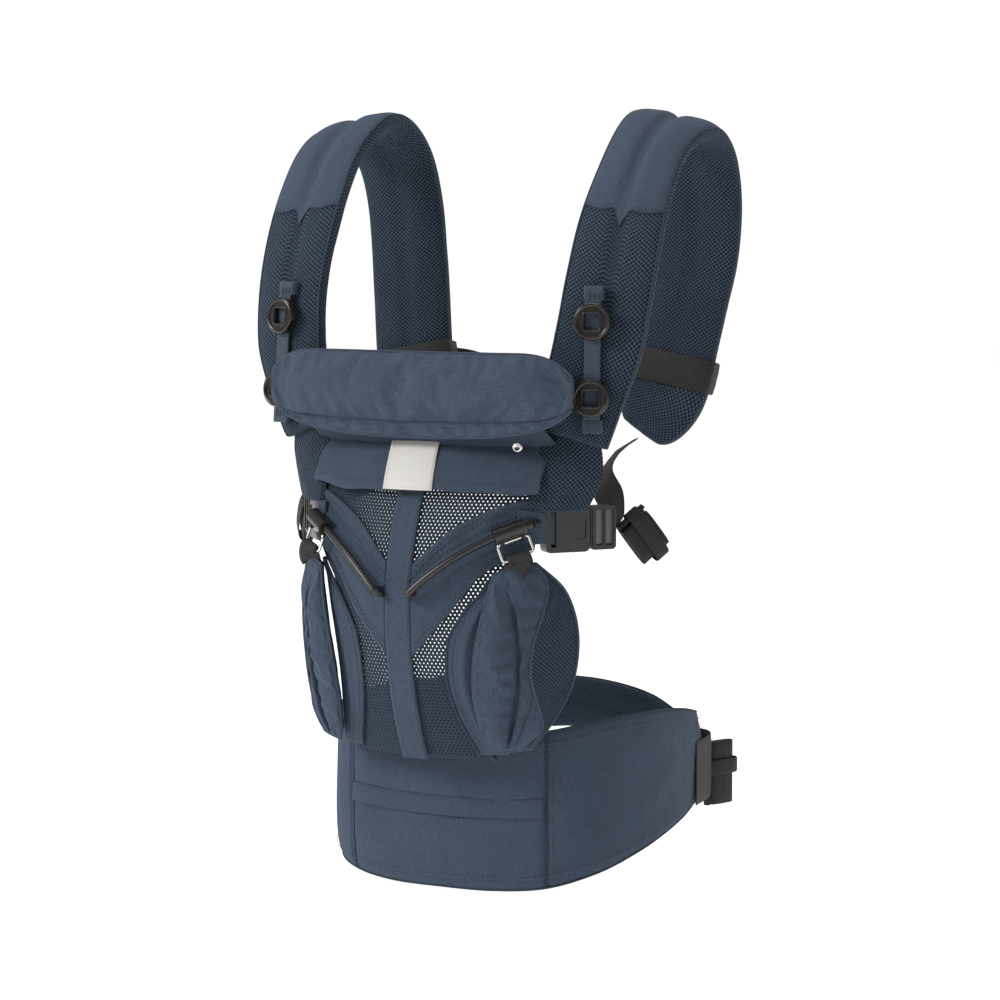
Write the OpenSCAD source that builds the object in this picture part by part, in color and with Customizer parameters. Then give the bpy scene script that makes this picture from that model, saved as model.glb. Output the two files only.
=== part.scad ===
// Soft baby carrier in its worn shape. The origin is the centre of the waist opening at the belt's
// lower front edge, +Z is up and the outer face looks along -Y. Pieces named right are at +X, which is
// the right-hand side seen from the front.

/* [Waist belt] */
// Thickness of the padded belt
belt_t = 14; // [12:1:16]
// Width of the waist webbing
waist_web_w = 50; // [44:1:50]

/* [Body panel] */
// Forward bulge of the panel's centre line at its fullest
panel_bulge = 163; // [160:1:166]
// Rate at which the panel curves back towards its sides
panel_curve = 0.0042; // [0.0040:0.0001:0.0044]
// Half width of the cotton spine
spine_w = 10; // [8:1:11]
// Thickness of the leg pads
leg_pad_t = 16; // [12:1:16]

/* [Headrest] */
// Half width of the pillow
headrest_w = 126; // [122:1:130]
// Thickness of the pillow
headrest_t = 26; // [20:1:26]

/* [Shoulder straps] */
// Width of the padded strap
strap_w = 66; // [62:1:66]
// Thickness of the padded strap
strap_t = 18; // [14:1:18]
// Width of the shoulder and chest webbing
web_w = 25; // [22:1:25]
// Thickness of all webbing
web_t = 1.8; // [1.4:0.1:2]

/* [Hardware] */
// Radius of a slide ring
ring_r = 13.5; // [13:0.5:14]
// Radius of the seat rail
rail_r = 2.7; // [2.4:0.1:2.8]

/* [Hidden] */

cotton = [0.15, 0.20, 0.29];
mesh = [0.07, 0.15, 0.24];
black = [0.04, 0.04, 0.045];
steel = [0.75, 0.75, 0.77];

// A smooth curve through the points p, where s runs from 0 to the last point's index.
function curve(p, s) =
    let (
        last = len(p) - 1,
        i = min(floor(s), last - 1),
        t = s - i,
        a = p[max(i - 1, 0)],
        b = p[i],
        c = p[i + 1],
        d = p[min(i + 2, last)]
    )
    0.5 * (2 * b + (c - a) * t + (2 * a - 5 * b + 4 * c - d) * t * t
        + (3 * b - a - 3 * c + d) * t * t * t);

function unit(v) = v / norm(v);

// Direction of that curve at s.
function heading(p, s) =
    let (last = len(p) - 1)
    unit(curve(p, min(s + 0.05, last)) - curve(p, max(s - 0.05, 0)));

// Full thickness in the middle of a width that v crosses from 0 to 1, and edge at both sides.
function lens(v, full, edge) = edge + (full - edge) * sqrt(max(0, 1 - pow(abs(2 * v - 1), 4)));

// Closed solid between two grids of points with the same rows and columns.
module slab(low, high) {
    rows = len(low) - 1;
    cols = len(low[0]) - 1;
    total = (rows + 1) * (cols + 1);
    i = floor(rows / 2);
    j = floor(cols / 2);
    span = cross(low[i + 1][j] - low[i][j], low[i][j + 1] - low[i][j]);
    flip = span * (high[i][j] - low[i][j]) < 0;
    function at(r, c) = r * (cols + 1) + c;
    top = [for (r = [0:rows - 1], c = [0:cols - 1], k = [0, 1])
        k == 0
            ? [total + at(r, c), total + at(r + 1, c + 1), total + at(r + 1, c)]
            : [total + at(r, c), total + at(r, c + 1), total + at(r + 1, c + 1)]];
    bottom = [for (r = [0:rows - 1], c = [0:cols - 1], k = [0, 1])
        k == 0
            ? [at(r, c), at(r + 1, c), at(r + 1, c + 1)]
            : [at(r, c), at(r + 1, c + 1), at(r, c + 1)]];
    rim = concat(
        [for (r = [0:rows]) at(r, 0)],
        [for (c = [1:cols]) at(rows, c)],
        [for (r = [1:rows]) at(rows - r, cols)],
        [for (c = [1:cols - 1]) at(0, cols - c)]
    );
    walls = [for (k = [0:len(rim) - 1], h = [0, 1])
        let (a = rim[k], b = rim[(k + 1) % len(rim)])
        h == 0 ? [a, total + a, total + b] : [a, total + b, b]];
    faces = concat(top, bottom, walls);
    polyhedron(
        points = concat([for (row = low) each row], [for (row = high) each row]),
        faces = flip ? [for (f = faces) [f[2], f[1], f[0]]] : faces
    );
}

// Solid between the offsets lo and hi of a surface f(u, v, offset).
module layer(f, lo, hi, rows, cols) {
    slab(
        [for (i = [0:rows]) [for (j = [0:cols]) f(i / rows, j / cols, lo)]],
        [for (i = [0:rows]) [for (j = [0:cols]) f(i / rows, j / cols, hi)]]
    );
}

// Flat webbing along the points p, whose width direction turns from w0 to w1.
module ribbon(p, w0, w1, width, rows = 16) {
    f = function(u, v, o)
        let (
            s = u * (len(p) - 1),
            t = heading(p, s),
            w = w0 * (1 - u) + w1 * u,
            side = unit(w - t * (w * t))
        )
        curve(p, s) + side * (v - 0.5) * width + cross(side, t) * o;
    layer(f, -web_t / 2, web_t / 2, rows, 2);
}

// Places its children on the +X side, and their mirror image for the left-hand piece.
module sided(side) {
    mirror([side < 0 ? 1 : 0, 0, 0]) children();
}

// ---------- Waist belt ----------

// Plan of the belt's middle line, from the right wing's end round the front to the left wing's end,
// with the heights of its lower and upper edges.
belt_line = [
    [120, 100, 42, 112], [126, 62, 36, 120], [128, 20, 30, 126], [123, -20, 22, 128],
    [108, -57, 12, 127], [80, -82, 3, 121], [43, -94, 0, 119], [0, -98, 0, 118],
    [-42, -94, 0, 119], [-78, -82, 3, 121], [-105, -57, 8, 125], [-118, -18, 18, 126],
    [-120, 28, 32, 125], [-109, 77, 50, 124], [-76, 117, 70, 124], [-32, 138, 82, 125],
    [18, 142, 84, 124], [66, 132, 72, 117], [104, 114, 56, 103],
];
right_seam = 5;
left_seam = 9;
far_end = 18;
belt_cover_t = 2.5;
belt_foam_share = 1 - 2 * belt_cover_t / belt_t;

// Point of the belt at station s, height share v and offset share o, from -1 inside to 1 outside.
function belt_pt(s, v, o) =
    let (
        p = curve(belt_line, s),
        t = unit([heading(belt_line, s).x, heading(belt_line, s).y]),
        reach = o * lens(v, belt_t / 2, 3)
    )
    [p.x - t.y * reach, p.y + t.x * reach, p[2] + v * (p[3] - p[2])];

module belt_layer(first, last, lo, hi) {
    f = function(u, v, o) belt_pt(first + u * (last - first), v, o);
    layer(f, lo, hi, (last - first) * 3, 6);
}

module belt_front() {
    color(cotton) belt_layer(right_seam, left_seam, belt_foam_share, 1);
}

module belt_wing_right() {
    color(cotton) belt_layer(0, right_seam, belt_foam_share, 1);
}

module belt_wing_left() {
    color(cotton) belt_layer(left_seam, far_end, belt_foam_share, 1);
}

module belt_foam() {
    color([0.85, 0.85, 0.82]) belt_layer(0, far_end, -belt_foam_share, belt_foam_share);
}

module belt_lining_right() {
    color(mesh) belt_layer(0, 7, -1, -belt_foam_share);
}

module belt_lining_left() {
    color(mesh) belt_layer(7, far_end, -1, -belt_foam_share);
}

// ---------- Side-release buckles ----------

// Each buckle lies along its own +X, the way its plug pulls out, with the webbing's width along Y.
// The mouth of the housing is at the origin.
shell_t = 2;
prong_gap = 0.5;
recess = 0.8;
rib = 0.7;

// Half width of a housing for webbing of width w.
function buckle_half(w) = w / 2 + 4.5;
// Length of its prongs and cavity.
function buckle_reach(w) = 14 + w * 0.36;
// Full thickness.
function buckle_t(w) = 9 + w * 0.08;

module soft_box(x0, x1, half, t, r) {
    translate([0, 0, -t / 2])
        linear_extrude(t)
            translate([(x0 + x1) / 2, 0])
                polygon([for (q = [0:3], a = [0:15:90])
                    let (
                        sx = (q == 0 || q == 3) ? 1 : -1,
                        sy = q < 2 ? 1 : -1,
                        b = a + 90 * q
                    )
                    [sx * ((x1 - x0) / 2 - r) + r * cos(b), sy * (half - r) + r * sin(b)]]);
}

module housing(w) {
    half = buckle_half(w);
    reach = buckle_reach(w);
    t = buckle_t(w);
    bar = 12;
    difference() {
        soft_box(-reach - bar, 0, half, t, 4);
        translate([-reach, -half + 3, -t / 2 + shell_t])
            cube([reach + 1, 2 * half - 6, t - 2 * shell_t]);
        for (side = [-1, 1])
            translate([-reach * 0.72, side > 0 ? half - 5 : -half - 1, -t / 2 + shell_t])
                cube([reach, 6, t - 2 * shell_t]);
        translate([-reach - bar + 4, -w / 2 - 0.5, -t])
            cube([4, w + 1, 2 * t]);
        for (face = [-1, 1])
            translate([0, 0, face * t / 2])
                soft_box(-reach * 0.62, -3, half * 0.45, 2 * recess, 3);
    }
}

module plug(w) {
    half = buckle_half(w);
    reach = buckle_reach(w);
    t = buckle_t(w);
    inner = t - 2 * shell_t - 2 * prong_gap;
    difference() {
        soft_box(0.6, 21, half - 1, t, 3);
        for (x = [5, 13])
            translate([x, -w / 2 - 0.5, -t])
                cube([4.5, w + 1, 2 * t]);
    }
    translate([-reach + 2, -w * 0.14, -inner / 2])
        cube([reach - 1, w * 0.28, inner]);
    for (x = [2, 10.5, 18.5])
        translate([x, -half + 4, -t / 2 - rib])
            cube([1.4, 2 * half - 8, t + 2 * rib]);
}

// One sprung arm of the plug on the +Y side, with the catch that stands in the housing's window.
module prong(w) {
    half = buckle_half(w);
    reach = buckle_reach(w);
    inner = buckle_t(w) - 2 * shell_t - 2 * prong_gap;
    root = half - 8;
    translate([0, 0, -inner / 2])
        linear_extrude(inner)
            polygon([
                [0.2, root - 1.5], [0.2, root + 2], [-reach * 0.25, root + 2.6], [-reach * 0.4, half - 1],
                [-reach * 0.52, half + 0.6], [-reach * 0.66, half - 0.8], [-reach * 0.7, root + 3],
                [-reach * 0.9, root + 2], [-reach * 0.9, root], [-reach * 0.5, root],
            ]);
}

// Stands a buckle at p with its webbing's width upright and its plug leaving at the plan angle a.
module upright(p, a) {
    translate(p) rotate([90, 0, a]) children();
}

// ---------- Waist closure ----------

waist_z = 67;
tail_sag = 9;
waist_mouth = [72, 148, waist_z];
waist_angle = -18;
waist_dir = [cos(waist_angle), sin(waist_angle), 0];
waist_bar = waist_mouth + waist_dir * 21.5;

module waist_housing() {
    color(black) upright(waist_mouth, waist_angle) housing(waist_web_w);
}

module waist_plug() {
    color(black) upright(waist_mouth, waist_angle) plug(waist_web_w);
}

module waist_prong_upper() {
    color(black) upright(waist_mouth, waist_angle) prong(waist_web_w);
}

module waist_prong_lower() {
    color(black) upright(waist_mouth, waist_angle) mirror([0, 1, 0]) prong(waist_web_w);
}

// Folded and rolled end of webbing: a flat coil of the given width standing along Z.
module rolled(width, long, thick) {
    translate([0, 0, -width / 2])
        linear_extrude(width)
            polygon([for (q = [0, 1], a = [0:15:180])
                let (b = a - 90 + 180 * q, sx = q == 0 ? 1 : -1)
                [sx * (long - thick) / 2 + thick / 2 * cos(b), thick / 2 * sin(b)]]);
}

module waist_web_right() {
    color(black) {
        ribbon(
            [[132.6, 76, waist_z], [129.9, 100, waist_z], [125, 122, waist_z], [113, 136, waist_z], waist_bar],
            [0, 0, 1], [0, 0, 1], waist_web_w
        );
        translate([126, 138, waist_z - tail_sag]) rotate([0, 0, 68]) rolled(waist_web_w, 34, 11);
    }
}

module waist_web_left() {
    color(black)
        ribbon(
            [[2, 150.6, 89], [18, 151, 83], [29, 154, 74], [36, 159.5, waist_z]],
            [0, 0, 1], [0, 0, 1], waist_web_w - 16
        );
}

// ---------- Body panel ----------

panel_low = 215;
panel_lean = 0.003;

// Forward reach of the panel's centre line at height z.
function panel_front(z) =
    z < panel_low
        ? panel_bulge - 27 * pow((z - panel_low) / 111, 2)
        : panel_bulge - panel_lean * pow(z - panel_low, 2);

// The panel's sides curve back less towards its top.
function curve_at(z) =
    let (t = max(0, min(1, (z - 265) / 50)))
    panel_curve - 0.0012 * t * t * (3 - 2 * t);

// Point of the panel's outer face at (x, z), moved forward by out.
function panel_pt(x, z, out) = [x, -panel_front(z) + curve_at(z) * x * x - out, z];

// Straight blend of a table's rows, where s runs from 0 to the last row's index.
function row_at(p, s) =
    let (i = min(floor(s), len(p) - 2))
    p[i] + (p[i + 1] - p[i]) * (s - i);

// Half width and height of the mesh sheet, upwards from its seat.
mesh_sides = [
    [55, 120], [56, 135], [56, 152], [56, 170], [57, 187], [58, 205], [60, 220], [62, 236], [74, 248],
    [86, 260], [88, 272], [90, 285], [92, 297], [93, 310], [93, 322], [93, 334],
];

// The sheet's rows: half width, height, forward reach and sideways curve. The first two tuck the seat
// back under to the belt's upper edge.
mesh_rows = concat(
    [[52, 112, 109, 0.0018], [54, 102, 124, 0.0028], [55, 106, 136, 0.0038]],
    [for (m = mesh_sides) [m[0], m[1], panel_front(m[1]), curve_at(m[1])]]
);

module panel_mesh() {
    last = len(mesh_rows) - 1;
    f = function(u, v, o)
        let (r = row_at(mesh_rows, (1 - u) * last), x = (2 * v - 1) * r[0])
        [x, -r[2] + r[3] * x * x + o, r[1]];
    color(mesh) layer(f, 0.4, 3.1, last, 12);
}

module panel_spine() {
    f = function(u, v, o) panel_pt((2 * v - 1) * spine_w, 110 + 198 * u, o);
    color(cotton) layer(f, 0.2, 2.2, 16, 2);
}

band_low = 302;
band_high = 336;
band_w = 94;

// The hood pocket stands away from the mesh at its lower edge.
function band_gap(z) = 8 - 4 * (z - band_low) / (band_high - band_low);

module hood_pocket() {
    f = function(u, v, o)
        let (z = band_low + u * (band_high - band_low))
        panel_pt((2 * v - 1) * band_w, z, band_gap(z) + o);
    color(cotton) layer(f, 0, 2, 4, 14);
}

module hood() {
    f = function(u, v, o)
        let (z = band_low + 6 + u * (band_high - band_low - 10))
        panel_pt((2 * v - 1) * (band_w - 16), z, (o < 0.5 ? 0.8 : band_gap(z) - 0.8));
    color(cotton * 0.8) layer(f, 0, 1, 4, 12);
}

label_h = 38;

module label() {
    f = function(u, v, o)
        let (z = band_low + 0.5 + u * label_h)
        panel_pt((2 * v - 1) * 20, z, band_gap(z) + 2.2 + o);
    color([0.93, 0.93, 0.9]) layer(f, 0, 0.8, 4, 4);
}

// Cotton yoke above and below the rail, from the spine to the panel's side.
yoke_lower = [[11, 182], [38, 213], [62, 244], [91, 261]];
yoke_upper = [[11, 250], [38, 276], [66, 291], [91, 299]];

module yoke() {
    f = function(u, v, o)
        let (
            a = curve(yoke_lower, u * 3),
            b = curve(yoke_upper, u * 3),
            p = a + (b - a) * v
        )
        panel_pt(p.x, p.y, o);
    color(cotton) layer(f, 0.2, 2.2, 9, 4);
}

module yoke_right() {
    sided(1) yoke();
}

module yoke_left() {
    sided(-1) yoke();
}

// Mesh side of the panel, from the hood pocket's end round to the foot of the shoulder strap.
module gusset() {
    inner_edge = [for (z = [296, 317, 338]) panel_pt(band_w + 1.5, z, 0)];
    outer_edge = [[120, -90, 296], [127, -86, 312], [126, -84, 330]];
    f = function(u, v, o)
        let (
            a = curve(inner_edge, u * 2),
            b = curve(outer_edge, u * 2),
            n = unit(cross([0, 0, 1], b - a))
        )
        a + (b - a) * v - n * (o + 4 * sin(180 * v));
    color(mesh) layer(f, -1.5, 1.5, 6, 4);
}

module gusset_right() {
    sided(1) gusset();
}

module gusset_left() {
    sided(-1) gusset();
}

// Leg pad: inner and outer edges in X and Z, from the bottom up.
leg_inner = [[66, 112], [60, 126], [57, 150], [59, 180], [65, 212], [72, 244]];
leg_outer = [[86, 114], [99, 134], [109, 162], [112, 198], [107, 230], [94, 251]];
leg_stand = 11;
leg_wrap_from = 78;
leg_wrap = 0.022;

module leg_pad() {
    f = function(u, v, o)
        let (
            a = curve(leg_inner, u * 5),
            b = curve(leg_outer, u * 5),
            p = a + (b - a) * v,
            h = lens(v, lens(u, leg_pad_t / 2, 2), 1.6)
        )
        panel_pt(p.x, p.y, leg_stand + o * h - leg_wrap * pow(max(0, p.x - leg_wrap_from), 2));
    color(cotton) layer(f, -1, 1, 14, 10);
}

module leg_pad_right() {
    sided(1) leg_pad();
}

module leg_pad_left() {
    sided(-1) leg_pad();
}

// ---------- Headrest ----------

headrest_low = 340;
headrest_high = 402;
headrest_front = 138;

module headrest() {
    f = function(u, v, o)
        let (
            x = (2 * u - 1) * headrest_w,
            round_end = 1 - pow(abs(2 * u - 1), 10),
            mid = (headrest_low + headrest_high) / 2,
            half = (headrest_high - headrest_low) / 2 * (0.7 + 0.3 * round_end),
            h = 1.5 + (lens(v, headrest_t / 2, 1) - 1.5) * sqrt(1 - pow(abs(2 * u - 1), 6) * 0.9)
        )
        [x, -headrest_front + 8 * pow(x / headrest_w, 2) - o * h, mid + (2 * v - 1) * half];
    color(cotton) layer(f, -1, 1, 22, 8);
}

// ---------- Seat rails, sliders and loops ----------

rail_stand = 12;
rail_points = [panel_pt(14, 230, rail_stand), panel_pt(51.5, 260, rail_stand), panel_pt(92, 279.5, rail_stand)];

// Centre of the circle through three points.
function arc_centre(p) =
    let (
        a = p[0] - p[2],
        b = p[1] - p[2],
        n = cross(a, b)
    )
    p[2] + cross((a * a) * b - (b * b) * a, n) / (2 * (n * n));

rail_o = arc_centre(rail_points);
rail_big_r = norm(rail_points[0] - rail_o);
rail_n = unit(cross(rail_points[2] - rail_o, rail_points[0] - rail_o));
tilt = acos(rail_n.z);
turn = atan2(rail_n.y, rail_n.x);
rail_x = [cos(turn) * cos(tilt), sin(turn) * cos(tilt), -sin(tilt)];
rail_y = [-sin(turn), cos(turn), 0];

// Angle of a point round the rail's centre.
function rail_angle(p) = atan2((p - rail_o) * rail_y, (p - rail_o) * rail_x);

rail_start = rail_angle(rail_points[2]);
rail_sweep = rail_angle(rail_points[0]) - rail_start;
slider_from_end = 6.3;
slider_len = 24;
rail_post_r = 3;

module rail_frame() {
    translate(rail_o) rotate([0, tilt, turn]) children();
}

// Puts its children on the rail, with +Y along it, at an angle from its outer end.
module on_rail(angle) {
    rail_frame() rotate([0, 0, rail_start + angle]) translate([rail_big_r, 0, 0]) children();
}

module rail() {
    color(black) {
        rail_frame()
            rotate([0, 0, rail_start])
                rotate_extrude(angle = rail_sweep, $fn = 96)
                    translate([rail_big_r, 0])
                        circle(r = rail_r, $fn = 24);
        for (end = [0, 2])
            translate(rail_points[end])
                rotate([-90, 0, 0])
                    cylinder(h = rail_stand - 4.1, r = rail_post_r, $fn = 24);
    }
}

module rail_right() {
    sided(1) rail();
}

module rail_left() {
    sided(-1) rail();
}

lug_reach = 8.5;
pin_r = 1.1;
// Turn about the rail that brings the lugs and the loop parallel to the panel.
hang = 42;

module slider() {
    color(black)
        on_rail(slider_from_end)
            difference() {
                union() {
                    rotate([90, 0, 0]) cylinder(h = slider_len, r = 5.6, center = true, $fn = 32);
                    for (y = [-8, 8])
                        rotate([0, hang, 0])
                            translate([-lug_reach / 2, y, 0])
                                cube([lug_reach, 3, 5.6], center = true);
                }
                rotate([90, 0, 0]) cylinder(h = slider_len + 2, r = rail_r + 0.5, center = true, $fn = 32);
                rotate([0, hang, 0])
                    translate([-lug_reach + 1.8, 0, 0])
                        rotate([90, 0, 0])
                            cylinder(h = 40, r = pin_r + 0.05, center = true, $fn = 24);
            }
}

module slider_right() {
    sided(1) slider();
}

module slider_left() {
    sided(-1) slider();
}

loop_w = 24;
loop_h = 13;
bend_r = 2.4;

// Wire loop with rounded corners, which swings on its own straight side.
module loop() {
    color(steel)
        on_rail(slider_from_end) rotate([0, hang, 0])
            translate([-lug_reach + 1.8, 0, 0]) {
                for (x = [0, -loop_h])
                    translate([x, 0, 0])
                        rotate([90, 0, 0])
                            cylinder(h = loop_w - 2 * bend_r, r = pin_r, center = true, $fn = 24);
                for (side = [-1, 1])
                    translate([-bend_r, side * loop_w / 2, 0])
                        rotate([0, -90, 0])
                            cylinder(h = loop_h - 2 * bend_r, r = pin_r, $fn = 24);
                for (side = [-1, 1], far = [0, 1])
                    translate([far == 0 ? -bend_r : bend_r - loop_h, side * (loop_w / 2 - bend_r), 0])
                        rotate([0, 0, side > 0 ? 90 * far : -90 + -90 * far])
                            rotate_extrude(angle = 90, $fn = 48)
                                translate([bend_r, 0])
                                    circle(r = pin_r, $fn = 24);
            }
}

module loop_right() {
    sided(1) loop();
}

module loop_left() {
    sided(-1) loop();
}

// ---------- Shoulder straps ----------

strap_line = [
    [108, -98, 340], [118, -99, 372], [128, -95, 408], [132, -84, 452], [133, -62, 500],
    [134, -32, 540], [134, -2, 561], [134, 26, 568], [132.5, 52, 561], [131, 74, 541],
    [129.5, 86, 508], [126.5, 87, 470], [121, 81, 435], [115.5, 74, 400], [109, 68, 365],
    [90, 62, 334],
];
strap_last = 15;
strap_seam = 4;
strap_share = 0.72;
strap_front_turn = 15;
strap_crest_fall = 12;

// Width of the strap at station s, narrower at its front foot and rounded at its back end.
function strap_width(s) =
    s < 2
        ? strap_w * (0.84 + 0.08 * s)
        : strap_w * (s > 14 ? sqrt(max(0.25, 1 - pow((s - 14) / 1.15, 2))) : 1 - 0.08 * exp(-pow(s - 5, 2)));

// Turn of the width about Z, which faces the strap's front outwards and dies out over the shoulder.
function strap_turn(s) = strap_front_turn * pow(cos(90 * max(0, min(1, (s - 2.5) / 4))), 2);

// Fall of the width towards the shoulder's outer side, over the crest only.
function strap_fall(s) = strap_crest_fall * pow(cos(90 * min(1, abs(s - 7) / 3.5)), 2);

function strap_pt(s, v, o) =
    let (
        t = heading(strap_line, s),
        a = strap_turn(s),
        x = unit([cos(a), sin(a), -sin(strap_fall(s))]),
        w = unit(x - t * (t * x))
    )
    curve(strap_line, s) + w * (v - 0.5) * strap_width(s)
        + cross(w, t) * o * lens(v, strap_t / 2, 4.5);

module strap_layer(first, last, lo, hi) {
    f = function(u, v, o) strap_pt(first + u * (last - first), v, o);
    layer(f, lo, hi, (last - first) * 2, 6);
}

module strap_cover() {
    color(cotton) strap_layer(strap_seam, strap_last, strap_share, 1);
}

module strap_cover_right() {
    sided(1) strap_cover();
}

module strap_cover_left() {
    sided(-1) strap_cover();
}

module strap_yoke() {
    color(mesh) strap_layer(0, strap_seam, strap_share, 1);
}

module strap_yoke_right() {
    sided(1) strap_yoke();
}

module strap_yoke_left() {
    sided(-1) strap_yoke();
}

module strap_foam() {
    color([0.85, 0.85, 0.82]) strap_layer(0, strap_last, -strap_share, strap_share);
}

module strap_foam_right() {
    sided(1) strap_foam();
}

module strap_foam_left() {
    sided(-1) strap_foam();
}

module strap_lining() {
    color(mesh) strap_layer(0, strap_last, -1, -strap_share);
}

module strap_lining_right() {
    sided(1) strap_lining();
}

module strap_lining_left() {
    sided(-1) strap_lining();
}

// ---------- Slide rings ----------

track_foot = [130, -111.1, 350];
track_lean = 4.2;
track_turn = strap_front_turn;
track_len = 96;
tack_depth = 9;
track_w = 12;
upper_ring = 75;
lower_ring = 20;

// Places its children in front of the strap, with +Z up the track and +Y towards the strap.
module on_track(along) {
    translate(track_foot) rotate([-track_lean, 0, track_turn]) translate([0, 0, along]) children();
}

module ring_track() {
    color(cotton * 1.15)
        on_track(0) {
            translate([-track_w / 2, -0.6, 0])
                cube([track_w, 1.2, track_len]);
            for (z = [-5, track_len - 5])
                translate([-track_w / 2 - 1, -0.6, z])
                    cube([track_w + 2, tack_depth, 10]);
        }
}

module ring_track_right() {
    sided(1) ring_track();
}

module ring_track_left() {
    sided(-1) ring_track();
}

// Slide ring: a round disc in front of the track with a square window, and a bridge behind the track.
module slide_ring(along) {
    clear = 0.5;
    disc_t = 4;
    color(black)
        on_track(along) {
            difference() {
                translate([0, -0.6 - clear, 0])
                    rotate([90, 0, 0])
                        cylinder(h = disc_t, r = ring_r, $fn = 48);
                translate([-5.5, -10, -5.5]) cube([11, 20, 11]);
            }
            for (side = [-1, 1])
                translate([side > 0 ? track_w / 2 + clear : -track_w / 2 - clear - 1.6, -1.2, -5])
                    cube([1.6, 3.6, 10]);
            translate([-track_w / 2 - clear - 1.6, 0.6 + clear, -5])
                cube([track_w + 2 * clear + 3.2, 1.3, 10]);
        }
}

module ring_upper_right() {
    sided(1) slide_ring(upper_ring);
}

module ring_upper_left() {
    sided(-1) slide_ring(upper_ring);
}

module ring_lower_right() {
    sided(1) slide_ring(lower_ring);
}

module ring_lower_left() {
    sided(-1) slide_ring(lower_ring);
}

// ---------- Shoulder buckles ----------

shoulder_mouth = [114, -84, 274];
shoulder_angle = 50;
shoulder_dir = [cos(shoulder_angle), sin(shoulder_angle), 0];
tail_long = 42;
tail_tilt = 52;
tail_out = 22;
tail_drop = 8;

module shoulder_buckle_place(side) {
    color(black) sided(side) upright(shoulder_mouth, shoulder_angle) children();
}

module shoulder_housing_right() {
    shoulder_buckle_place(1) housing(web_w);
}

module shoulder_housing_left() {
    shoulder_buckle_place(-1) housing(web_w);
}

module shoulder_plug_right() {
    shoulder_buckle_place(1) plug(web_w);
}

module shoulder_plug_left() {
    shoulder_buckle_place(-1) plug(web_w);
}

module shoulder_prong_upper_right() {
    shoulder_buckle_place(1) prong(web_w);
}

module shoulder_prong_upper_left() {
    shoulder_buckle_place(-1) prong(web_w);
}

module shoulder_prong_lower_right() {
    shoulder_buckle_place(1) mirror([0, 1, 0]) prong(web_w);
}

module shoulder_prong_lower_left() {
    shoulder_buckle_place(-1) mirror([0, 1, 0]) prong(web_w);
}

module shoulder_web() {
    bar = shoulder_mouth + shoulder_dir * 24;
    color(black) {
        ribbon(
            [[80, 58, 323], [81, 42, 319], [85, 14, 311], [97, -20, 301], [118, -46, 288], bar],
            [1, 0, 0.6], [0.2, 0.3, 1], web_w
        );
        translate(bar + shoulder_dir * tail_out + [0, 0, -tail_drop])
            rotate([0, tail_tilt, shoulder_angle])
                rolled(web_w, tail_long, 11);
    }
}

module shoulder_web_right() {
    sided(1) shoulder_web();
}

module shoulder_web_left() {
    sided(-1) shoulder_web();
}

// ---------- Chest strap ----------

wrap_z = 382;
wrap_x = 112.4;
wrap_y = 71;
chest_y = 98;
chest_z = 368;
chest_mouth = [10, chest_y, chest_z];
strap_lean = atan2(13, 70);
strap_tip = -atan2(12, 70);
wrap_clear = 1.8;

// Elastic band round one shoulder strap: a sleeve that follows the strap's section and is open along Z.
module chest_wrap() {
    translate([wrap_x, wrap_y, wrap_z])
        rotate([strap_tip, strap_lean, 0])
            linear_extrude(web_w, center = true)
                difference() {
                    offset(delta = web_t) wrap_section();
                    wrap_section();
                }
}

module wrap_section() {
    half = strap_w / 2 + wrap_clear;
    polygon([for (side = [1, -1], k = [0:12])
        let (v = side > 0 ? k / 12 : 1 - k / 12)
        [(2 * v - 1) * half, side * (lens(v, strap_t / 2, 4.5) + wrap_clear)]]);
}

module chest_web_right() {
    color(black) {
        chest_wrap();
        ribbon(
            [[88, 81, wrap_z], [72, 86, wrap_z - 2], [55, 95, chest_z + 4], chest_mouth + [29, 0, 0],
                chest_mouth + [21.8, 0, 0]],
            [0, 0, 1], [0, 0, 1], web_w
        );
    }
}

module chest_web_left() {
    color(black) {
        sided(-1) chest_wrap();
        ribbon(
            [[-88, 81, wrap_z], [-72, 86, wrap_z - 2], [-47, 96, chest_z + 4], [-18.5, chest_y, chest_z]],
            [0, 0, 1], [0, 0, 1], web_w
        );
    }
}

module chest_housing() {
    color(black) upright(chest_mouth, 0) housing(web_w);
}

module chest_plug() {
    color(black) upright(chest_mouth, 0) plug(web_w);
}

module chest_prong_upper() {
    color(black) upright(chest_mouth, 0) prong(web_w);
}

module chest_prong_lower() {
    color(black) upright(chest_mouth, 0) mirror([0, 1, 0]) prong(web_w);
}

belt_front();
belt_wing_right();
belt_wing_left();
belt_foam();
belt_lining_right();
belt_lining_left();
waist_web_right();
waist_web_left();
waist_housing();
waist_plug();
waist_prong_upper();
waist_prong_lower();
panel_mesh();
panel_spine();
hood_pocket();
hood();
label();
yoke_right();
yoke_left();
gusset_right();
gusset_left();
leg_pad_right();
leg_pad_left();
headrest();
rail_right();
rail_left();
slider_right();
slider_left();
loop_right();
loop_left();
strap_cover_right();
strap_cover_left();
strap_yoke_right();
strap_yoke_left();
strap_foam_right();
strap_foam_left();
strap_lining_right();
strap_lining_left();
ring_track_right();
ring_track_left();
ring_upper_right();
ring_upper_left();
ring_lower_right();
ring_lower_left();
shoulder_web_right();
shoulder_web_left();
shoulder_housing_right();
shoulder_housing_left();
shoulder_plug_right();
shoulder_plug_left();
shoulder_prong_upper_right();
shoulder_prong_upper_left();
shoulder_prong_lower_right();
shoulder_prong_lower_left();
chest_web_right();
chest_web_left();
chest_housing();
chest_plug();
chest_prong_upper();
chest_prong_lower();
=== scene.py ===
"""Soft baby carrier: cloth, mesh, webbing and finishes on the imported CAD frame."""
import math

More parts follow.
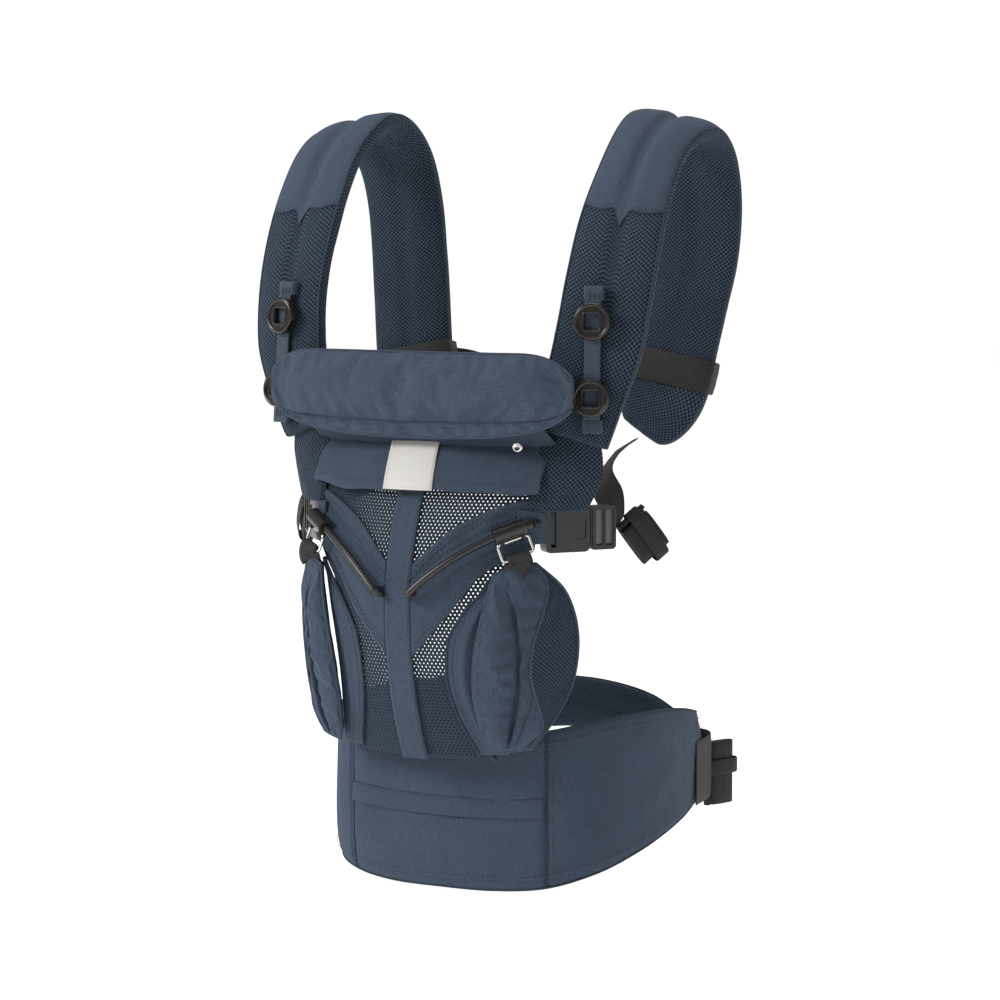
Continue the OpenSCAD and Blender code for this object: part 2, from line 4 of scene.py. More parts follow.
import bmesh
import bpy
import numpy as np
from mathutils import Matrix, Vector


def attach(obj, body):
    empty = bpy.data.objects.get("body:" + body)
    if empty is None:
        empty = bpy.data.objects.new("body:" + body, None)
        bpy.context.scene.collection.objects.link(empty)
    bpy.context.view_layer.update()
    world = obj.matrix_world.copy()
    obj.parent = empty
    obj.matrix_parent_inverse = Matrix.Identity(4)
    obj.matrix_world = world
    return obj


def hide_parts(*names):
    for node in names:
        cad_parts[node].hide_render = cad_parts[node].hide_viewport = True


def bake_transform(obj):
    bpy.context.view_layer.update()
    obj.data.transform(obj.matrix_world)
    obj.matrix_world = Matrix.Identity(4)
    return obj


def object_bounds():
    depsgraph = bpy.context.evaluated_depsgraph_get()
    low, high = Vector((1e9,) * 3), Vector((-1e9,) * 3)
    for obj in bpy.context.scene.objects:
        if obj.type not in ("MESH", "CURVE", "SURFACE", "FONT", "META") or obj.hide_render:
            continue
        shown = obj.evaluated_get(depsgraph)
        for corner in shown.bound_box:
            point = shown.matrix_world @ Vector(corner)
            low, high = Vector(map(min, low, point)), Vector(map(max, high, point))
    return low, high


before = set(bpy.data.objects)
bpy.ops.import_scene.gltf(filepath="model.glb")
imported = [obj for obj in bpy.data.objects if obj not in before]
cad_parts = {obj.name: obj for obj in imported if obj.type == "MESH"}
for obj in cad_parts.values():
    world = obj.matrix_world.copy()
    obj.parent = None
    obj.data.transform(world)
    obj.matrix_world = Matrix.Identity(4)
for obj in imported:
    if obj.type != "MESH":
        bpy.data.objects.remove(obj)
cad_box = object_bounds()
MM = 0.001
SIDES = {"right": 1, "left": -1}


# ---------- Camera, light and floor ----------

CAMERA_AZIMUTH = math.radians(27)
CAMERA_HEIGHT = math.radians(5.5)
CAMERA_DISTANCE = 2.4
CAMERA_TARGET = Vector((0, 0, 0.282))
CAMERA_LENS = 112.25
FLOOR_HALF, FLOOR_DROP = 9, 0.004
# Name, place, size and power of each light.
LIGHTS = (
    ("key", (-1.7, -2.2, 1.9), (1.2, 1.0), 66),
    ("fill", (2.6, -1.4, 0.9), (1.6, 1.6), 3),
    ("top", (-0.2, 0.3, 2.6), (1.6, 1.6), 26),
    ("back", (0.8, 2.6, 1.2), (1.6, 1.2), 12),
)
LIGHT_TARGET = (0, 0, 0.3)
WORLD_LIGHT, WORLD_SEEN = 0.32, 1.02


def aimed(obj, place, target):
    obj.location = place
    obj.rotation_euler = (Vector(target) - Vector(place)).to_track_quat("-Z", "Y").to_euler()
    bpy.context.scene.collection.objects.link(obj)
    return obj


def make_camera():
    data = bpy.data.cameras.new("camera")
    data.lens = CAMERA_LENS
    data.sensor_width = 36
    back = Vector((
        math.sin(CAMERA_AZIMUTH) * math.cos(CAMERA_HEIGHT),
        -math.cos(CAMERA_AZIMUTH) * math.cos(CAMERA_HEIGHT),
        math.sin(CAMERA_HEIGHT),
    ))
    cam = bpy.data.objects.new("camera", data)
    aimed(cam, CAMERA_TARGET + back * CAMERA_DISTANCE, CAMERA_TARGET)
    bpy.context.scene.camera = cam


def area_light(name, place, size, power):
    data = bpy.data.lights.new(name, "AREA")
    data.shape = "RECTANGLE"
    data.size, data.size_y = size
    data.energy = power
    aimed(bpy.data.objects.new(name, data), place, LIGHT_TARGET)


def make_world():
    """White studio: seen as white, and a softer light on the object."""
    world = bpy.data.worlds.new("studio")
    world.use_nodes = True
    tree = world.node_tree
    background = tree.nodes["Background"]
    background.inputs["Color"].default_value = (1, 1, 1, 1)
    path = tree.nodes.new("ShaderNodeLightPath")
    strength = tree.nodes.new("ShaderNodeMapRange")
    strength.inputs["To Min"].default_value = WORLD_LIGHT
    strength.inputs["To Max"].default_value = WORLD_SEEN
    tree.links.new(path.outputs["Is Camera Ray"], strength.inputs["Value"])
    tree.links.new(strength.outputs[0], background.inputs["Strength"])
    bpy.context.scene.world = world


def make_studio():
    bpy.context.scene.view_settings.view_transform = "Standard"
    for light in LIGHTS:
        area_light(*light)
    make_world()
    mesh = bpy.data.meshes.new("floor")
    corners = ((-1, -1), (1, -1), (1, 1), (-1, 1))
    mesh.from_pydata([(x * FLOOR_HALF, y * FLOOR_HALF, 0) for x, y in corners], [], [(0, 1, 2, 3)])
    floor = bpy.data.objects.new("floor", mesh)
    floor.location.z = cad_box[0].z - FLOOR_DROP
    bpy.context.scene.collection.objects.link(floor)
    mesh.materials.append(make_floor_material())


# ---------- Materials ----------

class Look:
    """A material, with short calls for building its node tree."""

    def __init__(self, name, color, rough, **sockets):
        self.material = bpy.data.materials.new(name)
        self.material.use_nodes = True
        self.tree = self.material.node_tree
        self.shader = self.tree.nodes["Principled BSDF"]
        self.shader.inputs["Base Color"].default_value = (*color, 1)
        self.shader.inputs["Roughness"].default_value = rough
        for key, value in sockets.items():
            self.shader.inputs[key.replace("_", " ")].default_value = value

    def node(self, kind, **values):
        n = self.tree.nodes.new("ShaderNode" + kind)
        for key, value in values.items():
            setattr(n, key, value)
        return n

    def fill(self, socket, value):
        if hasattr(value, "is_output"):
            self.tree.links.new(value, socket)
        else:
            socket.default_value = value

    def pair(self, kind, op, a, b):
        n = self.node(kind, operation=op)
        self.fill(n.inputs[0], a)
        self.fill(n.inputs[1], b)
        return n.outputs

    def math(self, op, a, b=0.0):
        return self.pair("Math", op, a, b)[0]

    def add(self, a, b):
        return self.math("ADD", a, b)

    def mul(self, a, b):
        return self.math("MULTIPLY", a, b)

    def wave(self, value, period):
        return self.math("SINE", self.mul(value, 2 * math.pi / period))

    def vec(self, op, a, b=(0, 0, 0)):
        return self.pair("VectorMath", op, a, b)["Value" if op == "LENGTH" else "Vector"]

    def noise(self, scale, detail=2.0, rough=0.6):
        n = self.node("TexNoise")
        for key, value in (("Scale", scale), ("Detail", detail), ("Roughness", rough)):
            n.inputs[key].default_value = value
        self.fill(n.inputs["Vector"], self.node("TexCoord").outputs["Object"])
        return n.outputs[0]

    def uv(self):
        return self.node("TexCoord").outputs["UV"]

    def uv_parts(self):
        n = self.node("SeparateXYZ")
        self.fill(n.inputs[0], self.uv())
        return n.outputs[0], n.outputs[1]

    def step(self, value, low, high):
        n = self.node("MapRange", interpolation_type="SMOOTHSTEP")
        for key, given in (("Value", value), ("From Min", low), ("From Max", high)):
            self.fill(n.inputs[key], given)
        return n.outputs[0]

    def blend(self, factor, a, b):
        n = self.node("Mix", data_type="RGBA")
        self.fill(n.inputs["Factor"], factor)
        self.fill(n.inputs[MIX_A], a)
        self.fill(n.inputs[MIX_B], b)
        return n.outputs[MIX_RESULT]

    def bump(self, height, strength, distance, before=None):
        n = self.node("Bump")
        for key, given in (("Strength", strength), ("Distance", distance), ("Height", height)):
            self.fill(n.inputs[key], given)
        if before:
            self.fill(n.inputs["Normal"], before)
        return n.outputs[0]

    def finish(self, base=None, rough=None, normal=None):
        """Links what is given to the shader and hands back the material."""
        for key, output in (("Base Color", base), ("Roughness", rough), ("Normal", normal)):
            if output is not None:
                self.fill(self.shader.inputs[key], output)
        return self.material


# Sockets of the Mix node that hold colours.
MIX_A, MIX_B, MIX_RESULT = 6, 7, 2


def rgba(color, scale=1.0):
    return (*(min(1.0, c * scale) for c in color), 1)


def cotton_material(name, color):
    """Twill cotton: diagonal wales, slubs and a slow change of tone."""
    g = Look(name, color, 0.9, Sheen_Weight=0.1, Sheen_Roughness=0.4,
             Sheen_Tint=(0.6, 0.75, 1.0, 1), Specular_IOR_Level=0.2)
    wale = 0.0011
    u, v = g.uv_parts()
    diagonal = g.wave(g.add(u, v), wale)
    across = g.wave(g.math("SUBTRACT", u, g.mul(v, 0.6)), wale * 0.55)
    weave = g.add(g.mul(diagonal, 0.6), g.mul(across, 0.4))
    slub = g.noise(640, 3)
    fleck = g.noise(1700)
    tone = g.noise(14, 3, 0.55)
    mix = g.add(g.mul(slub, 0.55), g.mul(fleck, 0.45))
    base = g.blend(g.step(mix, 0.32, 0.68), rgba(color, 0.74), rgba(color, 1.28))
    base = g.blend(g.mul(g.step(tone, 0.3, 0.75), 0.35), base, rgba(color, 0.78))
    base = g.blend(g.mul(g.step(weave, -0.2, 1.0), 0.16), base, rgba(color, 1.5))
    fine = g.bump(weave, 0.35, 0.00022)
    return g.finish(base, g.add(0.8, g.mul(slub, 0.2)), g.bump(mix, 0.45, 0.0005, fine))


def mesh_material(name, thread_color, deep, pitch, radius):
    """Spacer mesh: a staggered lattice of openings between raised knitted threads, with painted shade in the
    openings.
    """
    g = Look(name, thread_color, 0.8, Sheen_Weight=0.08, Sheen_Roughness=0.4,
             Sheen_Tint=(0.5, 0.75, 1.0, 1), Specular_IOR_Level=0.2)
    row = pitch * 0.9
    found = []
    for shift in (8.0, 8.5):
        cell = g.vec("MULTIPLY", g.uv(), (1 / pitch, 1 / row, 0))
        cell = g.vec("FRACTION", g.vec("ADD", cell, (shift, shift, 0)))
        cell = g.vec("MULTIPLY", g.vec("SUBTRACT", cell, (0.5, 0.5, 0)), (pitch, row, 0))
        found.append(g.vec("LENGTH", cell))
    near = g.math("MINIMUM", *found)
    hole = g.step(near, radius * 1.35, radius * 0.55)
    rib = g.step(near, radius * 0.9, radius * 1.5)
    knit = g.noise(1300)
    tone = g.noise(20, 2, 0.5)
    base = g.blend(g.step(knit, 0.3, 0.7), rgba(thread_color, 0.75), rgba(thread_color, 1.3))
    base = g.blend(g.mul(g.step(tone, 0.35, 0.7), 0.3), base, rgba(thread_color, 0.72))
    # The openings take the deep colour: painted shade inside the mesh's holes.
    base = g.blend(hole, base, rgba(deep))
    knitted = g.bump(knit, 0.4, 0.0004)
    return g.finish(base, g.add(0.7, g.mul(knit, 0.3)), g.bump(rib, 0.9, 0.0012, knitted))


def webbing_material(name, color, rib=0.0016):
    """Flat webbing: cross ribs broken by lengthwise yarns."""
    g = Look(name, color, 0.62, Sheen_Weight=0.05, Specular_IOR_Level=0.35)
    u, v = g.uv_parts()
    yarns = g.wave(u, rib * 0.75)
    weave = g.mul(g.wave(v, rib), g.add(0.6, g.mul(yarns, 0.4)))
    fuzz = g.noise(900, 3)
    base = g.blend(g.step(weave, -0.8, 0.9), rgba(color, 0.6), rgba(color, 1.4))
    base = g.blend(g.mul(fuzz, 0.35), base, rgba(color, 2.0))
    fine = g.bump(fuzz, 0.3, 0.0003)
    return g.finish(base, g.add(0.5, g.mul(fuzz, 0.3)), g.bump(weave, 0.55, 0.0005, fine))


def plastic_material(name, color, rough):
    """Moulded plastic with a fine spark-eroded grain and slightly uneven gloss."""
    g = Look(name, color, rough, Coat_Weight=0.15, Coat_Roughness=0.2)
    cloud = g.noise(60, 3, 0.5)
    base = g.blend(g.step(cloud, 0.35, 0.7), rgba(color, 0.8), rgba(color, 1.25))
    grain = g.bump(g.noise(2600), 0.18, 0.00025)
    return g.finish(base, g.add(rough - 0.08, g.mul(cloud, 0.2)), grain)


def chrome_material():
    g = Look("chrome", (0.72, 0.71, 0.7), 0.16, Metallic=1.0)
    gloss = g.add(0.1, g.mul(g.noise(240, 3), 0.16))
    return g.finish(None, gloss, g.bump(g.noise(1800, 2, 0.5), 0.06, 0.0002))


def label_material():
    """White satin label, woven across its width."""
    color = (0.66, 0.64, 0.60)
    g = Look("label_satin", color, 0.5, Sheen_Weight=0.2)
    rows = g.wave(g.uv_parts()[1], 0.0007)
    yarn = g.noise(1800)
    base = g.blend(g.step(g.add(yarn, g.mul(rows, 0.2)), 0.2, 0.9), rgba(color, 0.93), rgba(color, 1.06))
    return g.finish(base, None, g.bump(g.add(rows, yarn), 0.3, 0.0002))


def make_floor_material():
    grey = (0.6, 0.6, 0.6)
    g = Look("floor_pale", grey, 0.75, Emission_Color=(1, 1, 1, 1), Emission_Strength=0.8)
    shade = g.step(g.noise(1.5, 2, 0.5), 0.3, 0.7)
    return g.finish(g.blend(shade, (0.59, 0.59, 0.59, 1), (0.61, 0.61, 0.61, 1)))


def scaled(color, share):
    return tuple(c * share for c in color)


COTTON_COLOR = (0.048, 0.066, 0.098)
THREAD_COLOR = (0.068, 0.104, 0.156)
cotton = cotton_material("cotton_twill", COTTON_COLOR)
# Darker copy of the cotton at 0.7 of its colour: painted shade for seams, edges and pieces that sit in shade.
painted_shade_cotton = cotton_material("cotton_painted_shade", scaled(COTTON_COLOR, 0.7))
# The near-black colours passed to the spacer meshes are painted shade for their openings.
spacer = mesh_material("spacer_mesh", THREAD_COLOR, (0.003, 0.005, 0.008), 0.0036, 0.00105)
spacer_open = mesh_material("spacer_open", scaled(THREAD_COLOR, 0.8), (0.02, 0.03, 0.045), 0.0012, 0.0003)
black_web = webbing_material("black_webbing", (0.012, 0.012, 0.013))
blue_web = webbing_material("blue_webbing", (0.036, 0.05, 0.076), 0.0013)
plastic = plastic_material("black_plastic", (0.008, 0.0075, 0.007), 0.36)
ring_plastic = plastic_material("ring_plastic", (0.010, 0.008, 0.006), 0.24)
chrome = chrome_material()
label_satin = label_material()
thread = webbing_material("stitch_thread", (0.062, 0.085, 0.122), 0.0008)


# ---------- Geometry helpers, all in millimetres until the mesh is made ----------

def unit(v):
    v = np.asarray(v, float)
    return v / np.maximum(np.linalg.norm(v, axis=-1, keepdims=True), 1e-12)


def distances(path):
    """Distance along a path from its first point to each of its points."""
    return np.concatenate([[0], np.cumsum(np.linalg.norm(np.diff(path, axis=0), axis=1))])


def curve(points, s):
    """Catmull-Rom curve through the points, where s runs from 0 to the last point's index."""
    p = np.asarray(points, float)
    last = len(p) - 1
    s = np.clip(np.asarray(s, float), 0, last)
    i = np.minimum(np.floor(s).astype(int), last - 1)
    t = (s - i)[..., None]
    a, b, c, d = p[np.maximum(i - 1, 0)], p[i], p[i + 1], p[np.minimum(i + 2, last)]
    bend = (2 * a - 5 * b + 4 * c - d) * t ** 2 + (3 * b - a - 3 * c + d) * t ** 3
    return 0.5 * (2 * b + (c - a) * t + bend)


def heading(points, s):
    last = len(points) - 1
    s = np.asarray(s, float)
    return unit(curve(points, np.minimum(s + 0.05, last)) - curve(points, np.maximum(s - 0.05, 0)))


def row_at(points, s):
    """Straight blend of a table's rows."""
    p = np.asarray(points, float)
    s = np.clip(np.asarray(s, float), 0, len(p) - 1)
    i = np.minimum(np.floor(s).astype(int), len(p) - 2)
    return p[i] + (p[i + 1] - p[i]) * (s - i)[..., None]


def lens(v, full, edge, power=4):
    return edge + (full - edge) * np.sqrt(np.clip(1 - np.abs(2 * v - 1) ** power, 0, None))


def section(angle, power):
    """Point of a rounded rectangle of half width 1 and half height 1 at an angle in degrees."""
    a = np.radians(angle)
    x = np.sign(np.cos(a)) * np.abs(np.cos(a)) ** (2 / power)
    y = np.sign(np.sin(a)) * np.abs(np.sin(a)) ** (2 / power)
    return x, y


def params(rows, cols):
    """u and v over a grid of rows by cols cells."""
    return np.meshgrid(np.linspace(0, 1, rows + 1), np.linspace(0, 1, cols + 1), indexing="ij")


def normals(P):
    du = np.gradient(P, axis=0)
    dv = np.gradient(P, axis=1)
    return unit(np.cross(du, dv))


def lengths(P):
    """Distances along the grid's middle row and middle column, in metres."""
    rows, cols = P.shape[:2]
    return distances(P[rows // 2]) * MM, distances(P[:, cols // 2]) * MM


def waves(a, b, size, seed, count=7):
    """Smooth noise of about unit height over coordinates in millimetres, with features of a given size."""
    pick = np.random.default_rng(seed)
    total = np.zeros(np.broadcast(a, b).shape)
    for _ in range(count):
        angle = pick.uniform(0, math.pi)
        f = 2 * math.pi / (size * pick.uniform(0.7, 1.5))
        total += np.sin(f * (a * math.cos(angle) + b * math.sin(angle)) + pick.uniform(0, 6.28))
    return total / math.sqrt(count) / 1.4


def crumple(P, amount, size, seed, mask=1.0):
    """Moves a grid along its normals by smooth noise."""
    across, along = lengths(P)
    a, b = np.meshgrid(along / MM, across / MM, indexing="ij")
    return P + normals(P) * (waves(a, b, size, seed) * amount * mask)[..., None]


def build(name, verts, faces, material, uv):
    mesh = bpy.data.meshes.new(name)
    mesh.from_pydata((np.asarray(verts, float) * MM).tolist(), [], faces)
    layer = mesh.uv_layers.new(name="UVMap")
    layer.data.foreach_set("uv", np.array([spot for face in uv for spot in face], float).ravel())
    mesh.materials.append(material)
    mesh.polygons.foreach_set("use_smooth", [True] * len(mesh.polygons))
    mesh.update()
    obj = bpy.data.objects.new(name, mesh)
    bpy.context.scene.collection.objects.link(obj)
    return obj


def grid_faces(rows, cols, base=0, flip=False):
    faces, corners = [], []
    for i in range(rows):
        for j in range(cols):
            a = base + i * (cols + 1) + j
            quad = [a, a + 1, a + cols + 2, a + cols + 1]
            spots = [(i, j), (i, j + 1), (i + 1, j + 1), (i + 1, j)]
            if flip:
                quad.reverse()
                spots.reverse()
            faces.append(quad)
            corners.append(spots)
    return faces, corners


def corner_uvs(P, corners):
    """UVs in metres for each face's corners, given as rows and columns of the grid."""
    across, along = lengths(P)
    return [[(across[j], along[i]) for i, j in spots] for spots in corners]


def grid(name, P, material, flip=False):
    """Sheet through the points P."""
    faces, corners = grid_faces(P.shape[0] - 1, P.shape[1] - 1, 0, flip)
    return build(name, P.reshape(-1, 3), faces, material, corner_uvs(P, corners))


def shell(name, front, back, material, flip=False):
    """Closed form between two grids of the same size, whose rims are joined."""
    rows, cols = front.shape[0] - 1, front.shape[1] - 1
    total = (rows + 1) * (cols + 1)
    faces, corners = grid_faces(rows, cols, 0, flip)
    more, more_corners = grid_faces(rows, cols, total, not flip)
    faces += more
    corners += more_corners
    rim = [(i, 0) for i in range(rows)] + [(rows, j) for j in range(cols)]
    rim += [(rows - i, cols) for i in range(rows)] + [(0, cols - j) for j in range(cols)]
    for k, (i, j) in enumerate(rim):
        p, q = rim[(k + 1) % len(rim)]
        a, b = i * (cols + 1) + j, p * (cols + 1) + q
        quad = [a, total + a, total + b, b]
        spots = [(i, j), (i, j), (p, q), (p, q)]
        if not flip:
            quad.reverse()
            spots.reverse()
        faces.append(quad)
        corners.append(spots)
    verts = np.concatenate([front.reshape(-1, 3), back.reshape(-1, 3)])
    return tidy(build(name, verts, faces, material, corner_uvs(front, corners)))


def tidy(obj, gap=0.00002):
    """Merges points closer than the gap and turns the faces outwards."""
    bm = bmesh.new()
    bm.from_mesh(obj.data)
    if gap:
        bmesh.ops.remove_doubles(bm, verts=bm.verts, dist=gap)
        bmesh.ops.dissolve_degenerate(bm, dist=gap, edges=bm.edges)
    bmesh.ops.recalc_face_normals(bm, faces=bm.faces)
    bm.to_mesh(obj.data)
    bm.free()
    return obj


def thicken(obj, thickness, offset=-1.0):
    m = obj.modifiers.new("thickness", "SOLIDIFY")
    m.thickness = thickness * MM
    m.offset = offset
    m.use_even_offset = False
    return obj


def smooth(obj, levels=1):
    m = obj.modifiers.new("subdivision", "SUBSURF")
    m.levels = levels
    m.render_levels = levels
    return obj


TUBE_UP = (0.13, 0.21, 0.97)


def tube(name, path, radius, material, sides=8, closed=False):
    """Round tube along a path of points; radius is one value or one for each point."""
    path = np.asarray(path, float)
    n = len(path)
    radius = np.broadcast_to(np.asarray(radius, float), (n,))
    if closed:
        t = unit(np.roll(path, -1, 0) - np.roll(path, 1, 0))
    else:
        t = unit(np.gradient(path, axis=0))
    a = unit(np.cross(t, TUBE_UP))
    b = np.cross(a, t)
    angles = np.linspace(0, 2 * math.pi, sides, endpoint=False)
    ring = a[:, None] * np.cos(angles)[None, :, None] + b[:, None] * np.sin(angles)[None, :, None]
    verts = (path[:, None] + radius[:, None, None] * ring).reshape(-1, 3)
    faces, uv = [], []
    step = distances(path) * MM
    round_m = 2 * math.pi * radius.mean() * MM / sides
    for i in range(n if closed else n - 1):
        j = (i + 1) % n
        far = step[i] + (0.001 if j == 0 else step[j] - step[i])
        for k in range(sides):
            m = (k + 1) % sides
            faces.append([i * sides + k, j * sides + k, j * sides + m, i * sides + m])
            near_side, far_side = k * round_m, (k + 1) * round_m
            uv.append([(near_side, step[i]), (near_side, far), (far_side, far), (far_side, step[i])])
    if not closed:
        faces.append(list(range(sides)))
        faces.append([(n - 1) * sides + k for k in reversed(range(sides))])
        uv += [[(0, 0)] * sides] * 2
    return tidy(build(name, verts, faces, material, uv))


def joined(name, objs):
    """One object from several, with their modifiers applied."""
    dg = bpy.context.evaluated_depsgraph_get()
    bm = bmesh.new()
    materials = []
    for o in objs:
        mesh = bpy.data.meshes.new_from_object(o.evaluated_get(dg))
        for m in mesh.materials:
            if m not in materials:
                materials.append(m)
        first = len(bm.faces)
        bm.from_mesh(mesh)
        bm.faces.ensure_lookup_table()
        for f in bm.faces[first:]:
            f.material_index = materials.index(mesh.materials[f.material_index])
        bpy.data.meshes.remove(mesh)
    mesh = bpy.data.meshes.new(name)
    bm.to_mesh(mesh)
    bm.free()
    for m in materials:
        mesh.materials.append(m)
    for o in objs:
        bpy.data.objects.remove(o)
    obj = bpy.data.objects.new(name, mesh)
    bpy.context.scene.collection.objects.link(obj)
    return obj


def mirrored(P, side):
    """The same points for the left-hand piece."""
    return P * np.array([side, 1, 1])


def piece(obj, body, slot, *nodes):
    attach(obj, body)
    if nodes:
        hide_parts(*nodes)
    return obj


stitch_store = {}
FRONT = (0, -1, 0)
# Each stitch's points: share of its length from its middle, and height over the cloth.
STITCH_ARCH = ((-0.5, -0.2), (-0.28, 0.16), (0, 0.24), (0.28, 0.16), (0.5, -0.2))
THREAD_SIDES = 5
# Pitch, length and thread radius of the rows that differ from the plain seams.
TACK_STITCH, TRACK_STITCH, LABEL_STITCH = (2.0, 1.7, 0.34), (2.6, 2.4, 0.28), (2.6, 1.7, 0.16)


def stitches(path, lift, pitch=3.4, size=2.2, radius=0.3, kind="thread", body="carrier"):
    """A row of thread stitches over a path; lift is the outward direction, one or one for each point."""
    path = np.asarray(path, float)
    lift = np.broadcast_to(unit(lift), path.shape)
    far = distances(path)
    count = max(1, int(far[-1] / pitch))
    marks = (np.arange(count) + 0.5) * far[-1] / count
    for m in marks:
        ends = []
        for d, h in STITCH_ARCH:
            at = np.clip(m + d * size, 0, far[-1])
            p = np.array([np.interp(at, far, path[:, k]) for k in range(3)])
            n = np.array([np.interp(at, far, lift[:, k]) for k in range(3)])
            ends.append(p + unit(n) * (h + radius * 0.3))
        stitch_store.setdefault((body, kind), []).append((np.array(ends), radius, unit(n)))


def finish_stitches():
    """Makes one piece of thread for each body and colour."""
    colors = {"thread": thread, "pale": label_satin}
    sides, wide, long = THREAD_SIDES, 4e-4, 5e-4
    for (body, kind), rows in stitch_store.items():
        verts, faces, uv = [], [], []
        for path, radius, n in rows:
            a = unit(np.cross(unit(path[-1] - path[0]), n))
            base, last = len(verts), len(path) - 1
            for k, p in enumerate(path):
                r = radius * (0.55 if k in (0, last) else 1)
                for q in range(sides):
                    angle = 2 * math.pi * q / sides
                    verts.append(p + r * (a * math.cos(angle) + n * math.sin(angle)))
            for k in range(last):
                for q in range(sides):
                    w = (q + 1) % sides
                    at = base + k * sides
                    low, high = k * long, k * long + long
                    faces.append([at + q, at + w, at + sides + w, at + sides + q])
                    uv.append([(q * wide, low), (w * wide, low), (w * wide, high), (q * wide, high)])
            faces.append([base + q for q in range(sides)])
            faces.append([base + last * sides + q for q in reversed(range(sides))])
            uv += [[(0, 0)] * sides] * 2
        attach(tidy(build(f"stitching_{kind}_{body}", verts, faces, colors[kind], uv), None), body)


PRESSURE, CLOTH_FRAMES = 3.0, 20


def inflate(obj, seam_points, near_sq, grow, cap):
    """Blows up a closed cloth form while the points by its seams stay, then keeps the result."""
    at = np.array([c.co[:] for c in obj.data.vertices]) / MM
    pinned = [i for i, c in enumerate(at) if np.min(np.sum((seam_points - c) ** 2, axis=1)) < near_sq]
    obj.vertex_groups.new(name="seams").add(pinned, 1, "REPLACE")
    before = np.empty(len(obj.data.vertices) * 3)
    obj.data.vertices.foreach_get("co", before)
    before = before.reshape(-1, 3)
    cloth = obj.modifiers.new("cloth", "CLOTH")
    settings = {
        "quality": 6, "mass": 0.25, "tension_stiffness": 14, "compression_stiffness": 14,
        "shear_stiffness": 6, "bending_stiffness": 0.35, "use_pressure": True,
        "uniform_pressure_force": PRESSURE, "shrink_min": -grow,
        "vertex_group_mass": "seams", "pin_stiffness": 1,
    }
    for key, value in settings.items():
        setattr(cloth.settings, key, value)
    cloth.settings.effector_weights.gravity = 0
    cloth.collision_settings.use_collision = False
    cloth.collision_settings.use_self_collision = False
    cloth.point_cache.frame_start = 1
    cloth.point_cache.frame_end = CLOTH_FRAMES
    scene = bpy.context.scene
    for f in range(1, CLOTH_FRAMES + 1):
        scene.frame_set(f)
    dg = bpy.context.evaluated_depsgraph_get()
    after = np.empty_like(before).ravel()
    obj.evaluated_get(dg).data.vertices.foreach_get("co", after)
    after = after.reshape(-1, 3)
    obj.modifiers.remove(cloth)
    scene.frame_set(1)
    move = after - before
    far = np.linalg.norm(move, axis=1, keepdims=True)
    limit = cap * MM
    move *= np.where(far > limit, limit / np.maximum(far, 1e-9), 1)
    obj.data.vertices.foreach_set("co", (before + move).ravel())
    obj.data.update()


# ---------- Waist belt ----------

BELT_LINE = [
    [120, 100, 42, 112], [126, 62, 36, 120], [128, 20, 30, 126], [123, -20, 22, 128],
    [108, -57, 12, 127], [80, -82, 3, 121], [43, -94, 0, 119], [0, -98, 0, 118],
    [-42, -94, 0, 119], [-78, -82, 3, 121], [-105, -57, 8, 125], [-118, -18, 18, 126],
    [-120, 28, 32, 125], [-109, 77, 50, 124], [-76, 117, 70, 124], [-32, 138, 82, 125],
    [18, 142, 84, 124], [66, 132, 72, 117], [104, 114, 56, 103],
]
BELT_T, BELT_POWER = 14, 3.2
RIGHT_SEAM, LEFT_SEAM, FAR_END = 5, 9, 18


def belt_pt(s, h, out):
    """Belt point at station s, height share h and reach out from the middle line."""
    s, h, out = np.broadcast_arrays(np.asarray(s, float), h, out)
    p = curve(BELT_LINE, s)
    t = unit(heading(BELT_LINE, s)[..., :2])
    z = p[..., 2] + h * (p[..., 3] - p[..., 2])
    return np.stack([p[..., 0] - t[..., 1] * out, p[..., 1] + t[..., 0] * out, z], -1)


def belt_half(s):
    """Half thickness along the belt, closing at both ends."""
    end = np.minimum(s, FAR_END - s)
    return BELT_T / 2 * np.sqrt(np.clip(1 - (1 - np.clip(end / 0.16, 0, 1)) ** 2, 0.02, 1))


def belt_cover(name, first, last, seed, nodes):
    u, v = params(int((last - first) * 16), 52)
    s = first + u * (last - first)
    x, y = section(8 + 164 * v, BELT_POWER)
    h = 0.5 - x / 2
    seam = np.zeros_like(s)
    for at in (RIGHT_SEAM, LEFT_SEAM):
        seam = np.maximum(seam, np.exp(-((s - at) / 0.06) ** 2))
    out = y * belt_half(s) * (1 - 0.3 * seam)
    P = belt_pt(s, h, out)
    inner = np.clip(y * 1.4 - 0.3, 0, 1) * (1 - seam)
    P = crumple(P, 0.75, 55, seed, inner)
    P = crumple(P, 0.22, 17, seed + 1, inner)
    cover = piece(grid(name, P, cotton, True), "carrier", "cotton", *nodes)


